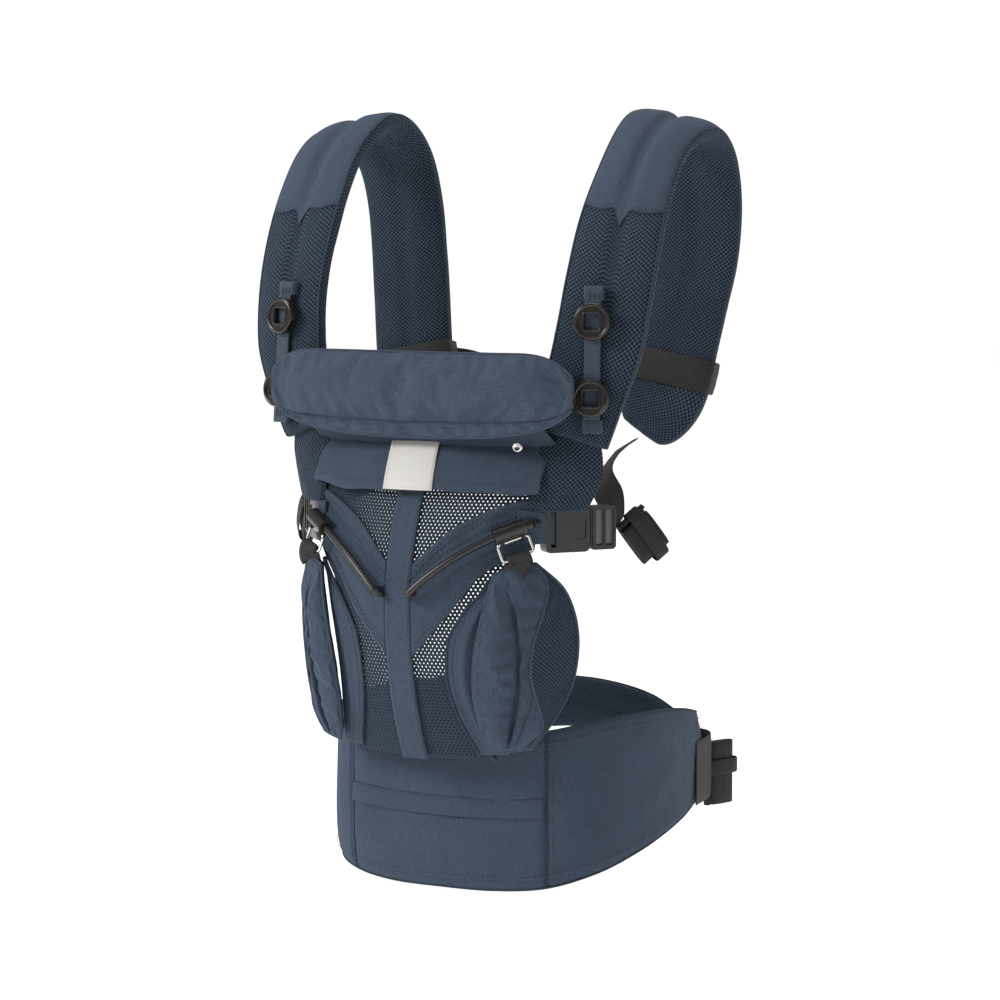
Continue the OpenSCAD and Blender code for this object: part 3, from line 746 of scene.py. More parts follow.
def make_belt():
    belt_cover("belt_front_cotton", RIGHT_SEAM, LEFT_SEAM, 3, ["belt_front"])
    belt_cover("belt_wing_right_cotton", 0, RIGHT_SEAM, 5, ["belt_wing_right"])
    belt_cover("belt_wing_left_cotton", LEFT_SEAM, FAR_END, 8, ["belt_wing_left", "belt_foam"])
    for name, first, last in (("right", 0, 7), ("left", 7, FAR_END)):
        u, v = params(int((last - first) * 14), 48)
        s = first + u * (last - first)
        x, y = section(172 + 196 * v, BELT_POWER)
        quilt = np.exp(-((x / 0.05) ** 2)) * 0.22
        P = belt_pt(s, 0.5 - x / 2, y * belt_half(s) * (1 - quilt))
        P = crumple(P, 0.4, 40, 21 + last, np.clip(-y, 0, 1))
        lining = grid(f"belt_lining_{name}_mesh", P, spacer, True)
        piece(lining, "carrier", "mesh", f"belt_lining_{name}")
    seams = []
    s = np.linspace(0.02, FAR_END - 0.02, 420)
    for angle in (8, 172):
        x, y = section(angle, BELT_POWER)
        path = belt_pt(s, 0.5 - x / 2, y * belt_half(s) + 0.5)
        # The edge piping takes the darker cotton copy: painted shade along the belt's edges.
        seams.append(tube("edge", path, 0.95, painted_shade_cotton, 6))
        inset = belt_pt(s, (0.5 - x / 2) + (0.075 if angle < 90 else -0.075), belt_half(s) * 0.97)
        stitches(inset, inset * [1, 1, 0] - belt_pt(s, 0.5, 0) * [1, 1, 0])
    for at, turn in ((RIGHT_SEAM, 1), (LEFT_SEAM, -1)):
        v = np.linspace(0, 1, 60)
        x, y = section(10 + 160 * v, BELT_POWER)
        path = belt_pt(at, 0.5 - x / 2, y * BELT_T / 2 * 0.72 + 0.4)
        # The seam welt takes the darker cotton copy: painted shade in the seam's groove.
        seams.append(tube("seam", path, 0.9, painted_shade_cotton, 6))
        near = at - 0.09 * turn
        path = belt_pt(near, 0.5 - x / 2, y * BELT_T / 2 + 0.1)
        lift = belt_pt(near, 0.5 - x / 2, y * BELT_T / 2 + 5) - path
        stitches(path[6:-6], lift[6:-6])
    piece(joined("belt_edges", seams), "carrier", "cotton")
    make_belt_pocket()
    make_bar_tacks()


POCKET_LOW, POCKET_HIGH = 57, 71


def make_belt_pocket():
    """Turned flap over the slit pocket, with a row of stitches along its upper edge."""
    u, v = params(90, 10)
    s = RIGHT_SEAM + 0.06 + u * (LEFT_SEAM - RIGHT_SEAM - 0.12)
    line = curve(BELT_LINE, s)
    z = POCKET_LOW + v * (POCKET_HIGH - POCKET_LOW) - 1.5 * np.sin(math.pi * u)
    h = (z - line[..., 2]) / (line[..., 3] - line[..., 2])
    lift = 1.7 - 1.5 * v ** 2 + 0.25 * np.sin(u * 23)
    P = belt_pt(s, h, BELT_T / 2 + lift)
    under = belt_pt(s, h, BELT_T / 2 - 0.6 + 0.2 * v)
    piece(shell("pocket_flap", P, under, cotton), "carrier", "cotton")
    row = 8
    stitches(P[:, row], P[:, row] - under[:, row])
    s = np.linspace(RIGHT_SEAM + 0.1, LEFT_SEAM - 0.1, 200)
    line = curve(BELT_LINE, s)
    h = (POCKET_LOW - 4 - line[:, 2]) / (line[:, 3] - line[:, 2])
    path = belt_pt(s, h, BELT_T / 2 + 0.05)
    stitches(path, belt_pt(s, h, BELT_T) - path)


def make_bar_tacks():
    """Two rows of close stitches where the waist webbing is sewn to the right wing."""
    h = np.linspace(0.08, 0.9, 40)
    for s in (0.35, 0.6):
        path = belt_pt(s, h, belt_half(s) + 0.35)
        stitches(path, belt_pt(s, h, 30) - path, *TACK_STITCH)


make_camera()
make_studio()
make_belt()


# ---------- Body panel ----------

PANEL_LOW = 215


def panel_front(z):
    """Reach of the panel's middle line towards the front."""
    z = np.asarray(z, float)
    return 163 - np.where(z < PANEL_LOW, 27 * ((z - PANEL_LOW) / 111) ** 2, 0.003 * (z - PANEL_LOW) ** 2)


def curve_at(z):
    """Curvature across the panel, flatter towards the headrest."""
    t = np.clip((np.asarray(z, float) - 265) / 50, 0, 1)
    return 0.0042 - 0.0012 * t ** 2 * (3 - 2 * t)


def panel_pt(x, z, out):
    x, z, out = np.broadcast_arrays(np.asarray(x, float), z, out)
    return np.stack([x, -panel_front(z) + curve_at(z) * x ** 2 - out, z], -1)


MESH_ROWS = [
    [52, 112, 109, 0.0018], [54, 102, 124, 0.0028], [55, 106, 136, 0.0038],
] + [[w, z, float(panel_front(z)), float(curve_at(z))] for w, z in (
    (55, 120), (56, 135), (56, 152), (56, 170), (57, 187), (58, 205), (60, 220), (62, 236),
    (74, 248), (86, 260), (88, 272), (90, 285), (92, 297), (93, 310), (93, 322), (93, 334))]
LAST_ROW = len(MESH_ROWS) - 1
SHEET_HALF = 93


def sheet_pt(x, s, out):
    """Point of the mesh sheet at station s of its rows, with x kept inside the sheet."""
    r = row_at(MESH_ROWS, s)
    x = np.clip(x, -r[..., 0], r[..., 0])
    return np.stack([x, -r[..., 2] + r[..., 3] * x ** 2 + out, r[..., 1]], -1)


def make_panel_mesh():
    """Open mesh of the panel: real openings in a staggered lattice."""
    pitch, row, hole = 3.0, 2.6, 0.72
    s = np.linspace(0, LAST_ROW, 400)
    along = distances(sheet_pt(np.zeros_like(s), s, 0))
    rows = int(along[-1] / row)
    row = along[-1] / rows
    reach = int(SHEET_HALF / pitch) + 1
    verts, faces, uv = [], [], []
    corner = [(-0.5, -0.5), (0, -0.5), (0.5, -0.5), (0.5, 0.5), (0, 0.5), (-0.5, 0.5)]
    for i in range(rows):
        width = row_at(MESH_ROWS, np.interp((i + 0.5) * row, along, s))[0]
        shift = 0.5 * (i % 2)
        for j in range(-reach, reach + 1):
            x = (j + shift) * pitch
            if abs(x) > width + pitch * 0.45:
                continue
            base = len(verts)
            for a, b in corner:
                verts.append((x + a * pitch, (i + 0.5 + b) * row))
            for a, b in corner:
                f = hole / math.hypot(a * pitch, b * row)
                verts.append((x + a * pitch * f, (i + 0.5) * row + b * row * f))
            for k in range(6):
                m = (k + 1) % 6
                faces.append([base + k, base + m, base + 6 + m, base + 6 + k])
                uv.append([(verts[q][0] * MM, verts[q][1] * MM) for q in faces[-1]])
    flat = np.array(verts)
    P = sheet_pt(flat[:, 0], np.interp(flat[:, 1], along, s), 1.3)
    obj = build("panel_spacer_mesh", P, faces, spacer_open, uv)
    tidy(obj, 0.00008)
    thicken(obj, 0.9, 0)
    piece(obj, "carrier", "mesh", "panel_mesh")
    edges = []
    for side in (1, -1):
        path = sheet_pt(np.full(120, side * 120.0), np.linspace(0.2, LAST_ROW, 120), 1.3)
        # The binding takes the darker cotton copy: painted shade along the mesh's edges.
        edges.append(tube("edge", path, 1.5, painted_shade_cotton, 8))
    piece(joined("panel_binding", edges), "carrier", "cotton")


def hem(v, width, edge=0.9):
    """Extra thickness of a double-folded hem over the share width at both sides of v."""
    d = np.minimum(v, 1 - v)
    return edge * (1 - 1 / (1 + np.exp(-(d - width) / (width * 0.08))))


def band(name, front_pt, rows, cols, thick, hem_width, hem_lift, seed, ripple):
    """Cotton band: front_pt(u, v) gives its face, and the back lies thick behind it."""
    u, v = params(rows, cols)
    P = front_pt(u, v)
    n = normals(P)
    face = P + n * (hem(v, hem_width, hem_lift))[..., None]
    edge = np.clip(np.minimum(v, 1 - v) / 0.03, 0, 1)
    face = face - n * ((1 - np.sqrt(edge)) * thick * 0.4)[..., None]
    face = crumple(face, ripple, 26, seed, edge)
    return shell(name, face, P - n * thick, cotton)


SPINE_HALF, SPINE_LOW, SPINE_LONG = 10.5, 103, 205


def make_spine():
    def face(u, v):
        x = (1 - 2 * v) * SPINE_HALF
        return panel_pt(x, SPINE_LOW + SPINE_LONG * u, 1.7 + 0.5 * (1 - (x / SPINE_HALF) ** 2))
    spine = band("spine_cotton", face, 90, 16, 1.3, hem_width=0.2, hem_lift=0.45, seed=31, ripple=0.3)
    piece(spine, "carrier", "cotton", "panel_spine")
    z = np.linspace(108, 300, 160)
    for x in (-8, 8):
        stitches(panel_pt(x, z, 2.2), FRONT)


YOKE_LOWER = [[11, 182], [38, 213], [62, 244], [91, 261]]
YOKE_UPPER = [[11, 250], [38, 276], [66, 291], [91, 299]]
RAIL_POINTS = [[14, 230], [51.5, 260], [92, 279.5]]
RAIL_SWEEP, SLIDER_FROM_END, LOOP_REACH = 37.16, 6.3, 19.7


def yoke_line(share, u):
    """Line across the yoke at a share of the way from its lower to its upper edge."""
    a = curve(YOKE_LOWER, u * 3)
    b = curve(YOKE_UPPER, u * 3)
    return a + (b - a) * np.asarray(share)[..., None]


def rail_arc(count, lift=12.0):
    """Points along the seat rail's arc, through its three fixed points."""
    p = [panel_pt(x, z, lift) for x, z in RAIL_POINTS]
    a, b = p[0] - p[2], p[1] - p[2]
    n = np.cross(a, b)
    centre = p[2] + np.cross((a @ a) * b - (b @ b) * a, n) / (2 * (n @ n))
    start, end = p[0] - centre, p[2] - centre
    angle = math.acos(start @ end / (np.linalg.norm(start) * np.linalg.norm(end)))
    t = np.linspace(0, 1, count)[:, None]
    return centre + (np.sin((1 - t) * angle) * start + np.sin(t * angle) * end) / math.sin(angle)


def make_yokes():
    for name, side in SIDES.items():
        def face(u, v):
            p = yoke_line(v if side > 0 else 1 - v, u)
            return mirrored(panel_pt(p[..., 0], p[..., 1], 1.6), side)
        obj = band(f"yoke_{name}_cotton", face, 56, 40, 1.2,
                   hem_width=0.13, hem_lift=0.5, seed=40 + side, ripple=0.35)
        piece(obj, "carrier", "cotton", f"yoke_{name}")
        u = np.linspace(0.03, 0.98, 120)
        for share in (0.06, 0.12, 0.88, 0.94):
            p = yoke_line(np.full_like(u, share), u)
            path = mirrored(panel_pt(p[:, 0], p[:, 1], 2.3), side)
            stitches(path, [0.2 * side, -1, 0])
        make_rail_seat(name, side)


# Half section of the fin: share of its height, and distance from its middle plane.
FIN_SECTION = ((0.0, 6.5), (0.35, 3.4), (0.8, 2.2), (1.0, 1.2))


def make_rail_seat(name, side):
    """Cotton fin sewn along the rail, which carries it off the panel."""
    line = rail_arc(60)
    foot = panel_pt(line[:, 0], line[:, 2], 1.8)
    top = line + unit(foot - line) * 6.4
    t = unit(np.gradient(line, axis=0))
    across = unit(np.cross(t, unit(foot - line)))
    fin = [(share, -width) for share, width in FIN_SECTION] + list(reversed(FIN_SECTION))
    ring = [foot + (top - foot) * share + across * width for share, width in fin]
    P = mirrored(np.stack(ring, 1), side)
    piece(smooth(grid(f"rail_seat_{name}", P, cotton, side < 0)), "carrier", "cotton")
    make_rail_tips(name, side, line, t)
    for width in (-9.5, 9.5):
        path = mirrored(foot + across * width, side)
        stitches(path + [0, -0.5, 0], FRONT)


def make_rail_tips(name, side, line, t):
    """Moulded tip that runs the rail's inner end down into the cloth beside the spine."""
    share = np.linspace(0, 1, 24)
    path = line[0] - t[0] * (9 * share[:, None] - 3)
    path[:, 1] += 10 * share ** 1.5
    radius = 3.1 * np.sqrt(np.clip(1 - share ** 2.4, 0.03, 1))
    piece(tube(f"rail_tip_{name}", mirrored(path, side), radius, plastic, 16), "carrier", "plastic")


BAND_LOW, BAND_HIGH, BAND_W = 302, 336, 94


def band_gap(z):
    return 8 - 4 * (z - BAND_LOW) / (BAND_HIGH - BAND_LOW)


def make_hood_pocket():
    """Cotton band with a hem along its lower edge, and the rolled hood behind it."""
    def face(u, v):
        x = (1 - 2 * v) * BAND_W
        wave = 1.6 * np.sin(x * 0.055 + 0.8) + 0.8 * np.sin(x * 0.13)
        z = BAND_LOW + u * (BAND_HIGH - BAND_LOW) + wave * (1 - u)
        belly = 1.5 * np.sin(math.pi * np.clip(u, 0, 1)) + 0.8 * np.cos(x * 0.07) * (1 - u)
        return panel_pt(x, z, band_gap(z) + 1.2 + belly)
    u, v = params(24, 110)
    P = face(u, v)
    n = normals(P)
    edge = np.clip(u / 0.06, 0, 1)
    P = crumple(P, 0.5, 38, 52, edge)
    P = P + n * (0.45 * (1 - 1 / (1 + np.exp(-(u - 0.2) / 0.02))))[..., None]
    piece(shell("hood_pocket_cotton", P, P - n * 1.4, cotton, True), "carrier", "cotton", "hood_pocket")
    stitches(P[4, 4:-4] + n[4, 4:-4] * 0.1, n[4, 4:-4])
    u, v = params(16, 70)
    x = (1 - 2 * v) * (BAND_W - 17)
    z = BAND_LOW + 7 + u * 22
    roll = 2.4 * np.sqrt(np.clip(1 - (2 * u - 1) ** 2, 0, 1))
    mid = 1.0 + band_gap(z) * 0.42
    folds = 0.35 * np.sin(x * 0.6 + 3 * np.sin(z * 0.3))
    front, back = panel_pt(x, z, mid + roll + folds), panel_pt(x, z, mid - roll * 0.8)
    # The hood behind the band takes the darker cotton copy: painted shade.
    hood = shell("rolled_hood", front, back, painted_shade_cotton, True)
    piece(hood, "carrier", "cotton", "hood")


def make_label():
    """Plain label that leans to one side, with fine stitches round three of its edges."""
    u, v = params(22, 20)
    x = (1 - 2 * v) * 20 - 7 * u + 1
    z = BAND_LOW + 0.5 + u * 37.5
    out = band_gap(z) + 3.9 + 0.5 * np.sin(v * math.pi) + 0.5 * np.sin(u * 2.6 + v)
    P = panel_pt(x, z, out)
    piece(shell("label_woven", P, P + [0, 0.5, 0], label_satin, True), "carrier", "label", "label")
    for row in (P[:, 1], P[:, 19], P[1]):
        stitches(row - [0, 0.1, 0], FRONT, *LABEL_STITCH, "pale")


def make_gussets():
    """Mesh between the panel's top and the foot of each strap."""
    inner_edge = panel_pt(BAND_W - 9.0, [289, 316, 346], 1.5)
    outer_edge = [[117, -93, 288], [127, -87, 314], [127, -90, 345]]
    for name, side in SIDES.items():
        u, v = params(34, 30)
        a, b = curve(inner_edge, u * 2), curve(outer_edge, u * 2)
        n = unit(np.cross([0, 0, 1], b - a))
        P = a + (b - a) * v[..., None] - n * (1.2 + 4 * np.sin(math.pi * v))[..., None]
        P = mirrored(crumple(P, 0.5, 24, 57 + side), side)
        obj = grid(f"gusset_{name}_mesh", P, spacer, side > 0)
        thicken(obj, 2.2)
        piece(obj, "carrier", "mesh", f"gusset_{name}")
        # The rims take the darker cotton copy: painted shade along the gusset's edges.
        rim = [tube("rim", line, 1.4, painted_shade_cotton, 8) for line in (P[0], P[:, 0])]
        piece(joined(f"gusset_{name}_binding", rim), "carrier", "cotton")
        make_side_anchor(name, side)


def make_side_anchor(name, side):
    """Cotton tab that ties the side buckle to the panel and the gusset."""
    start = [panel_pt(x, 276.0, 2.4) for x in (80, 90)]
    path = np.array([*start, [97, -110, 275], [99.5, -104.5, 274], [97, -101.5, 274], [92, -104.5, 274]])
    u, v = params(40, 14)
    mid = curve(path, u * 5)
    width = 27 - 4 * np.sin(math.pi * np.clip(u * 1.4, 0, 1))
    P = mid + np.array([0, 0, 1.0]) * ((v - 0.5) * width)[..., None]
    obj = grid(f"side_anchor_{name}", mirrored(P, side), cotton, side < 0)
    thicken(obj, 1.6, 0)
    piece(obj, "carrier", "cotton")
    for k in (2, 12):
        n = mirrored(np.array([0.55, -0.8, 0]), side)
        stitches(mirrored(P[4:24, k], side) + n * 0.9, n)


make_panel_mesh()
make_spine()
make_yokes()
make_hood_pocket()
make_label()
make_gussets()


# ---------- Leg pads ----------

LEG_INNER = [[66, 112], [60, 126], [57, 150], [59, 180], [65, 212], [72, 244]]
LEG_OUTER = [[86, 114], [99, 134], [109, 162], [112, 198], [107, 230], [94, 251]]
LEG_STAND = 11
LEG_T = 16


def leg_pt(u, v, out):
    a, b = curve(LEG_INNER, u * 5), curve(LEG_OUTER, u * 5)
    p = a + (b - a) * v[..., None]
    wrap = 0.022 * np.maximum(0, p[..., 0] - 78) ** 2
    return panel_pt(p[..., 0], p[..., 1], LEG_STAND + out - wrap)


def leg_half(u, v):
    return lens(v, 1, 0.15, 2.4) * lens(u, LEG_T / 2, 1.0, 5)


def leg_seam(u):
    """Share across the pad where its cotton face ends and its mesh side begins."""
    return 0.97 - 0.30 * np.sin(math.pi * np.clip((u - 0.12) / 0.80, 0, 1)) ** 1.3


def leg_fold(u):
    """Share across the pad of the deep fold down its middle."""
    return 0.36 + 0.15 * np.sin(math.pi * np.clip(u, 0, 1))


def make_leg_pads():
    rows, cols = 70, 60
    for name, side in SIDES.items():
        u, w = params(rows, cols)
        v = w * leg_seam(u)
        h = leg_half(u, v)
        reach = np.clip((u - 0.02) / 0.12, 0, 1) * np.clip((0.93 - u) / 0.16, 0, 1)
        beside = v - leg_fold(u)
        fold = np.exp(-(np.abs(beside) / 0.05) ** 1.4) * reach
        roll = np.exp(-((beside + 0.17) / 0.12) ** 2) * 0.2 * reach
        pleat = np.exp(-((beside - 0.2 + 0.04 * u) / 0.035) ** 2) * 0.22
        pleat = pleat * np.clip((0.6 - u) / 0.2, 0, 1)
        face = leg_pt(u, v, h * (1 - 1.3 * fold + roll - pleat))
        face = crumple(face, 0.5, 30, 61 + side, h / 8)
        face = crumple(face, 0.22, 12, 65 + side, h / 8)
        face, back = mirrored(face, side), mirrored(leg_pt(u, v, -h * 0.9), side)
        pad = shell(f"leg_pad_{name}_cotton", face, back, cotton, side > 0)
        kept = [face[:, [0, -1]], face[[0, -1]], face[fold > 0.6], back]
        inflate(pad, np.concatenate([p.reshape(-1, 3) for p in kept]), 0.5, 0.03, 2.5)
        smooth(pad)
        piece(pad, "carrier", "cotton", f"leg_pad_{name}")
        make_leg_edges(name, side)
        make_leg_side(name, side)
        make_leg_flap(name, side)


def make_leg_edges(name, side):
    """Piping round the pad and along its mesh side, with a row of stitches beside each."""
    line = np.linspace(0, 1, 90)
    ones = np.ones_like(line)
    paths = [
        (line, 0 * ones, 0.6), (line, leg_seam(line), 0.92), (0 * ones, line, 0.4), (ones, line, 0.4),
        (line, ones, 0.0),
    ]
    edges = []
    for u, v, lift in paths:
        p = leg_pt(u, v, leg_half(u, v) * lift)
        edges.append(tube("piping", mirrored(p, side), 1.3, cotton, 8))
    piece(joined(f"leg_pad_{name}_piping", edges), "carrier", "cotton")
    for v, lean in ((0.07 * ones, -0.2), (leg_seam(line) - 0.07, 0.5)):
        path = mirrored(leg_pt(line, v, leg_half(line, v) + 0.1), side)[8:-8]
        stitches(path, [lean * side, -1, 0])


# Share across the mesh side where it turns round the pad's outer edge.
SIDE_TURN = 0.45


def make_leg_side(name, side):
    """Mesh side of the pad, from its cotton face round its outer edge and back to the panel."""
    u, v = params(70, 34)
    at = np.clip(v / SIDE_TURN, 0, 1)
    across = leg_seam(u) + (1 - leg_seam(u)) * at
    h = leg_half(u, across) * np.cos(at * math.pi / 2) * 0.9
    face = leg_pt(u, across, h)
    a = curve(LEG_INNER, u * 5)
    inner = panel_pt(a[..., 0] + 6, a[..., 1], 1.0)
    far = leg_pt(u, np.ones_like(u), np.zeros_like(u))
    share = np.clip((v - SIDE_TURN) / (1 - SIDE_TURN), 0, 1)
    bulge = np.sin(math.pi * share) * np.sin(math.pi * np.clip(u, 0.02, 0.98)) * 5
    behind = far + (inner - far) * share[..., None] + np.array([0.35, 0.94, 0]) * bulge[..., None]
    P = np.where((v <= SIDE_TURN)[..., None], face, behind)
    P = crumple(P, 0.35, 22, 68 + side)
    obj = grid(f"leg_side_{name}_mesh", mirrored(P, side), spacer, side < 0)
    thicken(obj, 1.2, 0)
    smooth(obj)
    piece(obj, "carrier", "mesh")


def make_leg_flap(name, side):
    """Flat cotton facing on the panel beside the pad's inner edge, with a rolled edge."""
    u, v = params(60, 18)
    z = 108 + u * 140
    a = curve(LEG_INNER, u * 5)
    inner = a[..., 0] + 3
    narrowing = 22 * np.clip((u - 0.62) / 0.38, 0, 1) ** 1.5
    outer = np.maximum(a[..., 0] - 17 - 5 * np.sin(math.pi * u) + narrowing, 14)
    x = inner + (outer - inner) * v
    fold = 1.5 * np.exp(-((v - 0.38 - 0.1 * np.sin(u * 4)) / 0.12) ** 2)
    P = mirrored(panel_pt(x, z, 1.0 + 1.3 * np.sin(math.pi * np.clip(v * 1.05, 0, 1)) + fold), side)
    obj = grid(f"leg_facing_{name}", P, cotton, side > 0)
    thicken(obj, 1.2)
    piece(obj, "carrier", "cotton")
    # The rolled edge takes the darker cotton copy: painted shade.
    piece(tube("facing_edge", P[:, -1], 1.0, painted_shade_cotton, 8), "carrier", "cotton")
    stitches(P[3:-3, 15] + [0, -0.3, 0], FRONT)


make_leg_pads()


# ---------- Headrest ----------

HEAD_LOW, HEAD_HIGH, HEAD_W, HEAD_T = 340, 402, 126, 26
HEAD_SEAM = 0.235


def head_y(x):
    return -138 + 8 * (x / HEAD_W) ** 2


def head_pt(t, v, out):
    """Pillow point at t from -1 to 1 along it and height share v, with a crescent lip below its seam."""
    x = t * (HEAD_W - 1)
    far = np.abs(t)
    tip = np.clip((far - 0.62) / 0.38, 0, 1)
    top = HEAD_HIGH - 17 * tip ** 3.2
    seam = HEAD_LOW + 11.5 + 5 * far ** 2.5 + 8 * tip ** 4
    low = HEAD_LOW + (seam - HEAD_LOW) * np.clip(far, 0, 1) ** 2.6
    share = v / HEAD_SEAM
    lip = low + (seam - low) * share
    pillow = seam + (top - seam) * (v - HEAD_SEAM) / (1 - HEAD_SEAM)
    z = np.where(v < HEAD_SEAM, lip, pillow)
    return np.stack([x, head_y(x) - out, z], -1)


def head_half(t, v):
    """Half thickness: a flat lip below the seam and a full pillow above it."""
    w = np.clip((v - HEAD_SEAM) / (1 - HEAD_SEAM), 0, 1)
    pillow = (HEAD_T / 2 - 1.6) * np.clip(1 - np.abs(2 * w - 1) ** 2.2, 0, 1) ** 0.6
    lip = 2.6 * np.clip(1 - np.abs(2 * v / HEAD_SEAM - 1) ** 3, 0, 1) ** 0.5
    round_end = np.sqrt(np.clip(1 - np.abs(t) ** 4.5 * 0.985, 0, 1))
    return 0.8 + np.where(v > HEAD_SEAM, pillow, lip) * round_end


def make_headrest():
    rows, cols = 108, 44
    swing = math.pi / 2 * 0.9
    t = np.sin(np.linspace(-1, 1, rows + 1) * swing) / math.sin(swing)
    v = np.linspace(0, 1, cols + 1)
    seam_row = round(HEAD_SEAM * cols)
    v[seam_row] = HEAD_SEAM
    T, V = np.meshgrid(t, v, indexing="ij")
    h = head_half(T, V)
    pucker = np.exp(-((V - HEAD_SEAM) * 64 / 9.0) ** 2) * waves(T * HEAD_W, V * 8, 11, 71)
    top_pucker = np.exp(-((1 - V) * 64 / 7.0) ** 2) * waves(T * HEAD_W, V * 8, 13, 72)
    fold = 0.5 * pucker + 0.35 * top_pucker
    front = head_pt(T, V, np.maximum(h + fold, 0.8))
    front = crumple(front, 0.55, 42, 73, np.clip(h / 6, 0, 1))
    back = head_pt(T, V, -np.maximum(h * 0.92, 0.8))
    pad = shell("headrest_cotton", front, back, cotton, False)
    kept = [front[:, seam_row], back[:, seam_row], front[:, 0], front[:, -1], front[0], front[-1]]
    inflate(pad, np.concatenate(kept), 0.6, 0.035, 4)
    smooth(pad)
    piece(pad, "headrest", "cotton", "headrest")
    edges = []
    # The seam in the crease under the pillow takes the darker cotton copy: painted shade; the outer seams
    # stay plain cotton.
    seams = ((seam_row, -0.3, 0.8, painted_shade_cotton), (0, 0.3, 1.1, cotton), (cols, 0.3, 0.9, cotton))
    for at, y, r, material in seams:
        edges.append(tube("seam", front[2:-2, at] + [0, y, 0], r, material, 6))
    piece(joined("headrest_seams", edges), "headrest", "cotton")
    stitches(front[8:-8, seam_row - 2] + [0, -0.3, 0], FRONT, body="headrest")
    make_headrest_hinge()
    make_snap()


HINGE_HALF, HINGE_LOW, HINGE_HIGH = 98, 332, 352


def make_headrest_hinge():
    """Cotton strip from the top of the panel up to the pillow's lip."""
    u, v = params(12, 90)
    x = (1 - 2 * v) * HINGE_HALF
    foot = HINGE_LOW + 1.0
    low = panel_pt(x, foot, band_gap(foot) - 1.4)
    high = np.stack([x, head_y(x) + 1.6, np.full_like(x, HINGE_HIGH)], -1)
    P = low + (high - low) * u[..., None]
    P[..., 2] = HINGE_LOW + u * (HINGE_HIGH - HINGE_LOW)
    # The strip in the gap under the pillow takes the darker cotton copy: painted shadow.
    obj = grid("headrest_hinge", P, painted_shade_cotton, True)
    thicken(obj, 1.0, 0)
    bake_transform(obj)


def make_ring_rims(name, side, place, out, run, across):
    """Moulded rims round the outer edge and the square window of both slide rings."""
    angles = np.linspace(0, 2 * math.pi, 73)[:-1]
    for which, along in RING_PLACES.items():
        centre = place + run * along + out * 4.9
        rims = []
        for reach, power, radius in ((RING_R - 1.5, 2, 1.5), (6.6, 7, 0.9)):
            x, y = section(np.degrees(angles), power)
            path = centre + reach * (x[:, None] * across + y[:, None] * run)
            rims.append(tube("rim", mirrored(path, side), radius, ring_plastic, 12, True))
        piece(joined(f"ring_{which}_{name}_rims", rims), f"ring_{which}_{name}", "plastic")


def make_snap():
    """Small metal press stud on the hood pocket."""
    angles = np.linspace(0, 2 * math.pi, 25)[:-1]
    centre = panel_pt(72.0, 333.5, band_gap(333.5) + 3.4)
    rings = []
    for r, lift in ((4.2, 0), (4.3, 0.8), (3.6, 1.5), (2.2, 1.7), (1.9, 1.1), (0.6, 1.0)):
        rings.append(centre + np.stack([r * np.cos(angles), np.full(24, -lift), r * np.sin(angles)], -1))
    P = np.stack([np.concatenate([r, r[:1]]) for r in rings], 0)
    piece(tidy(grid("press_stud", P, chrome, True)), "carrier", "chrome")


make_headrest()


# ---------- Shoulder straps ----------

STRAP_LINE = [
    [108, -98, 340], [118, -99, 372], [128, -95, 408], [132, -84, 452], [133, -62, 500],
    [134, -32, 540], [134, -2, 561], [134, 26, 568], [132.5, 52, 561], [131, 74, 541],
    [129.5, 86, 508], [126.5, 87, 470], [121, 81, 435], [115.5, 74, 400], [109, 68, 365],
    [90, 62, 334],
]
STRAP_TURN, CREST_FALL = 15, 12
STRAP_W, STRAP_T = 66, 18
STRAP_SEAM, STRAP_END = 4, 15
STRAP_POWER = 2.9


def strap_width(s):
    foot = STRAP_W * (0.84 + 0.08 * s)
    tip = STRAP_W * np.sqrt(np.clip(1 - ((s - 14) / 1.15) ** 2, 0.25, None))
    run = STRAP_W * (1 - 0.08 * np.exp(-(s - 5) ** 2))
    return np.where(s < 2, foot, np.where(s > 14, tip, run))


def strap_across(s):
    """Width direction: turned outwards at the front and falling outwards over the crest."""
    turn = np.radians(STRAP_TURN * np.cos(np.clip((s - 2.5) / 4, 0, 1) * math.pi / 2) ** 2)
    fall = np.radians(CREST_FALL * np.cos(np.minimum(1, np.abs(s - 7) / 3.5) * math.pi / 2) ** 2)
    level = unit(np.stack([np.cos(turn), np.sin(turn), -np.sin(fall)], -1))
    t = heading(STRAP_LINE, s)
    return unit(level - t * np.sum(level * t, axis=-1, keepdims=True))


def strap_pt(s, x, out):
    """Strap point at station s, x from -1 to 1 across it and reach out from its middle."""
    w = strap_across(s)
    n = np.cross(w, heading(STRAP_LINE, s))
    return curve(STRAP_LINE, s) + w * (x * strap_width(s) / 2)[..., None] + n * np.asarray(out)[..., None]


def strap_half(s):
    close = np.clip((STRAP_END - s) / 0.5, 0, 1)
    begin = np.clip(s / 0.3, 0, 1)
    return STRAP_T / 2 * np.sqrt(1 - 0.92 * (1 - close) ** 2) * np.sqrt(1 - 0.75 * (1 - begin) ** 2)


def seam_station(x):
    """Station of the seam between mesh and cotton: two lobes and a point on the quilted line."""
    return STRAP_SEAM - 0.22 * np.exp(-(x / 0.13) ** 2) + 0.07 * np.cos(x * math.pi) ** 2 * (np.abs(x) > 0.1)


def quilted(x, depth):
    """Share of the strap's thickness that stays beside the line of stitches down its middle."""
    return 1 - depth * np.exp(-(x / 0.17) ** 2)


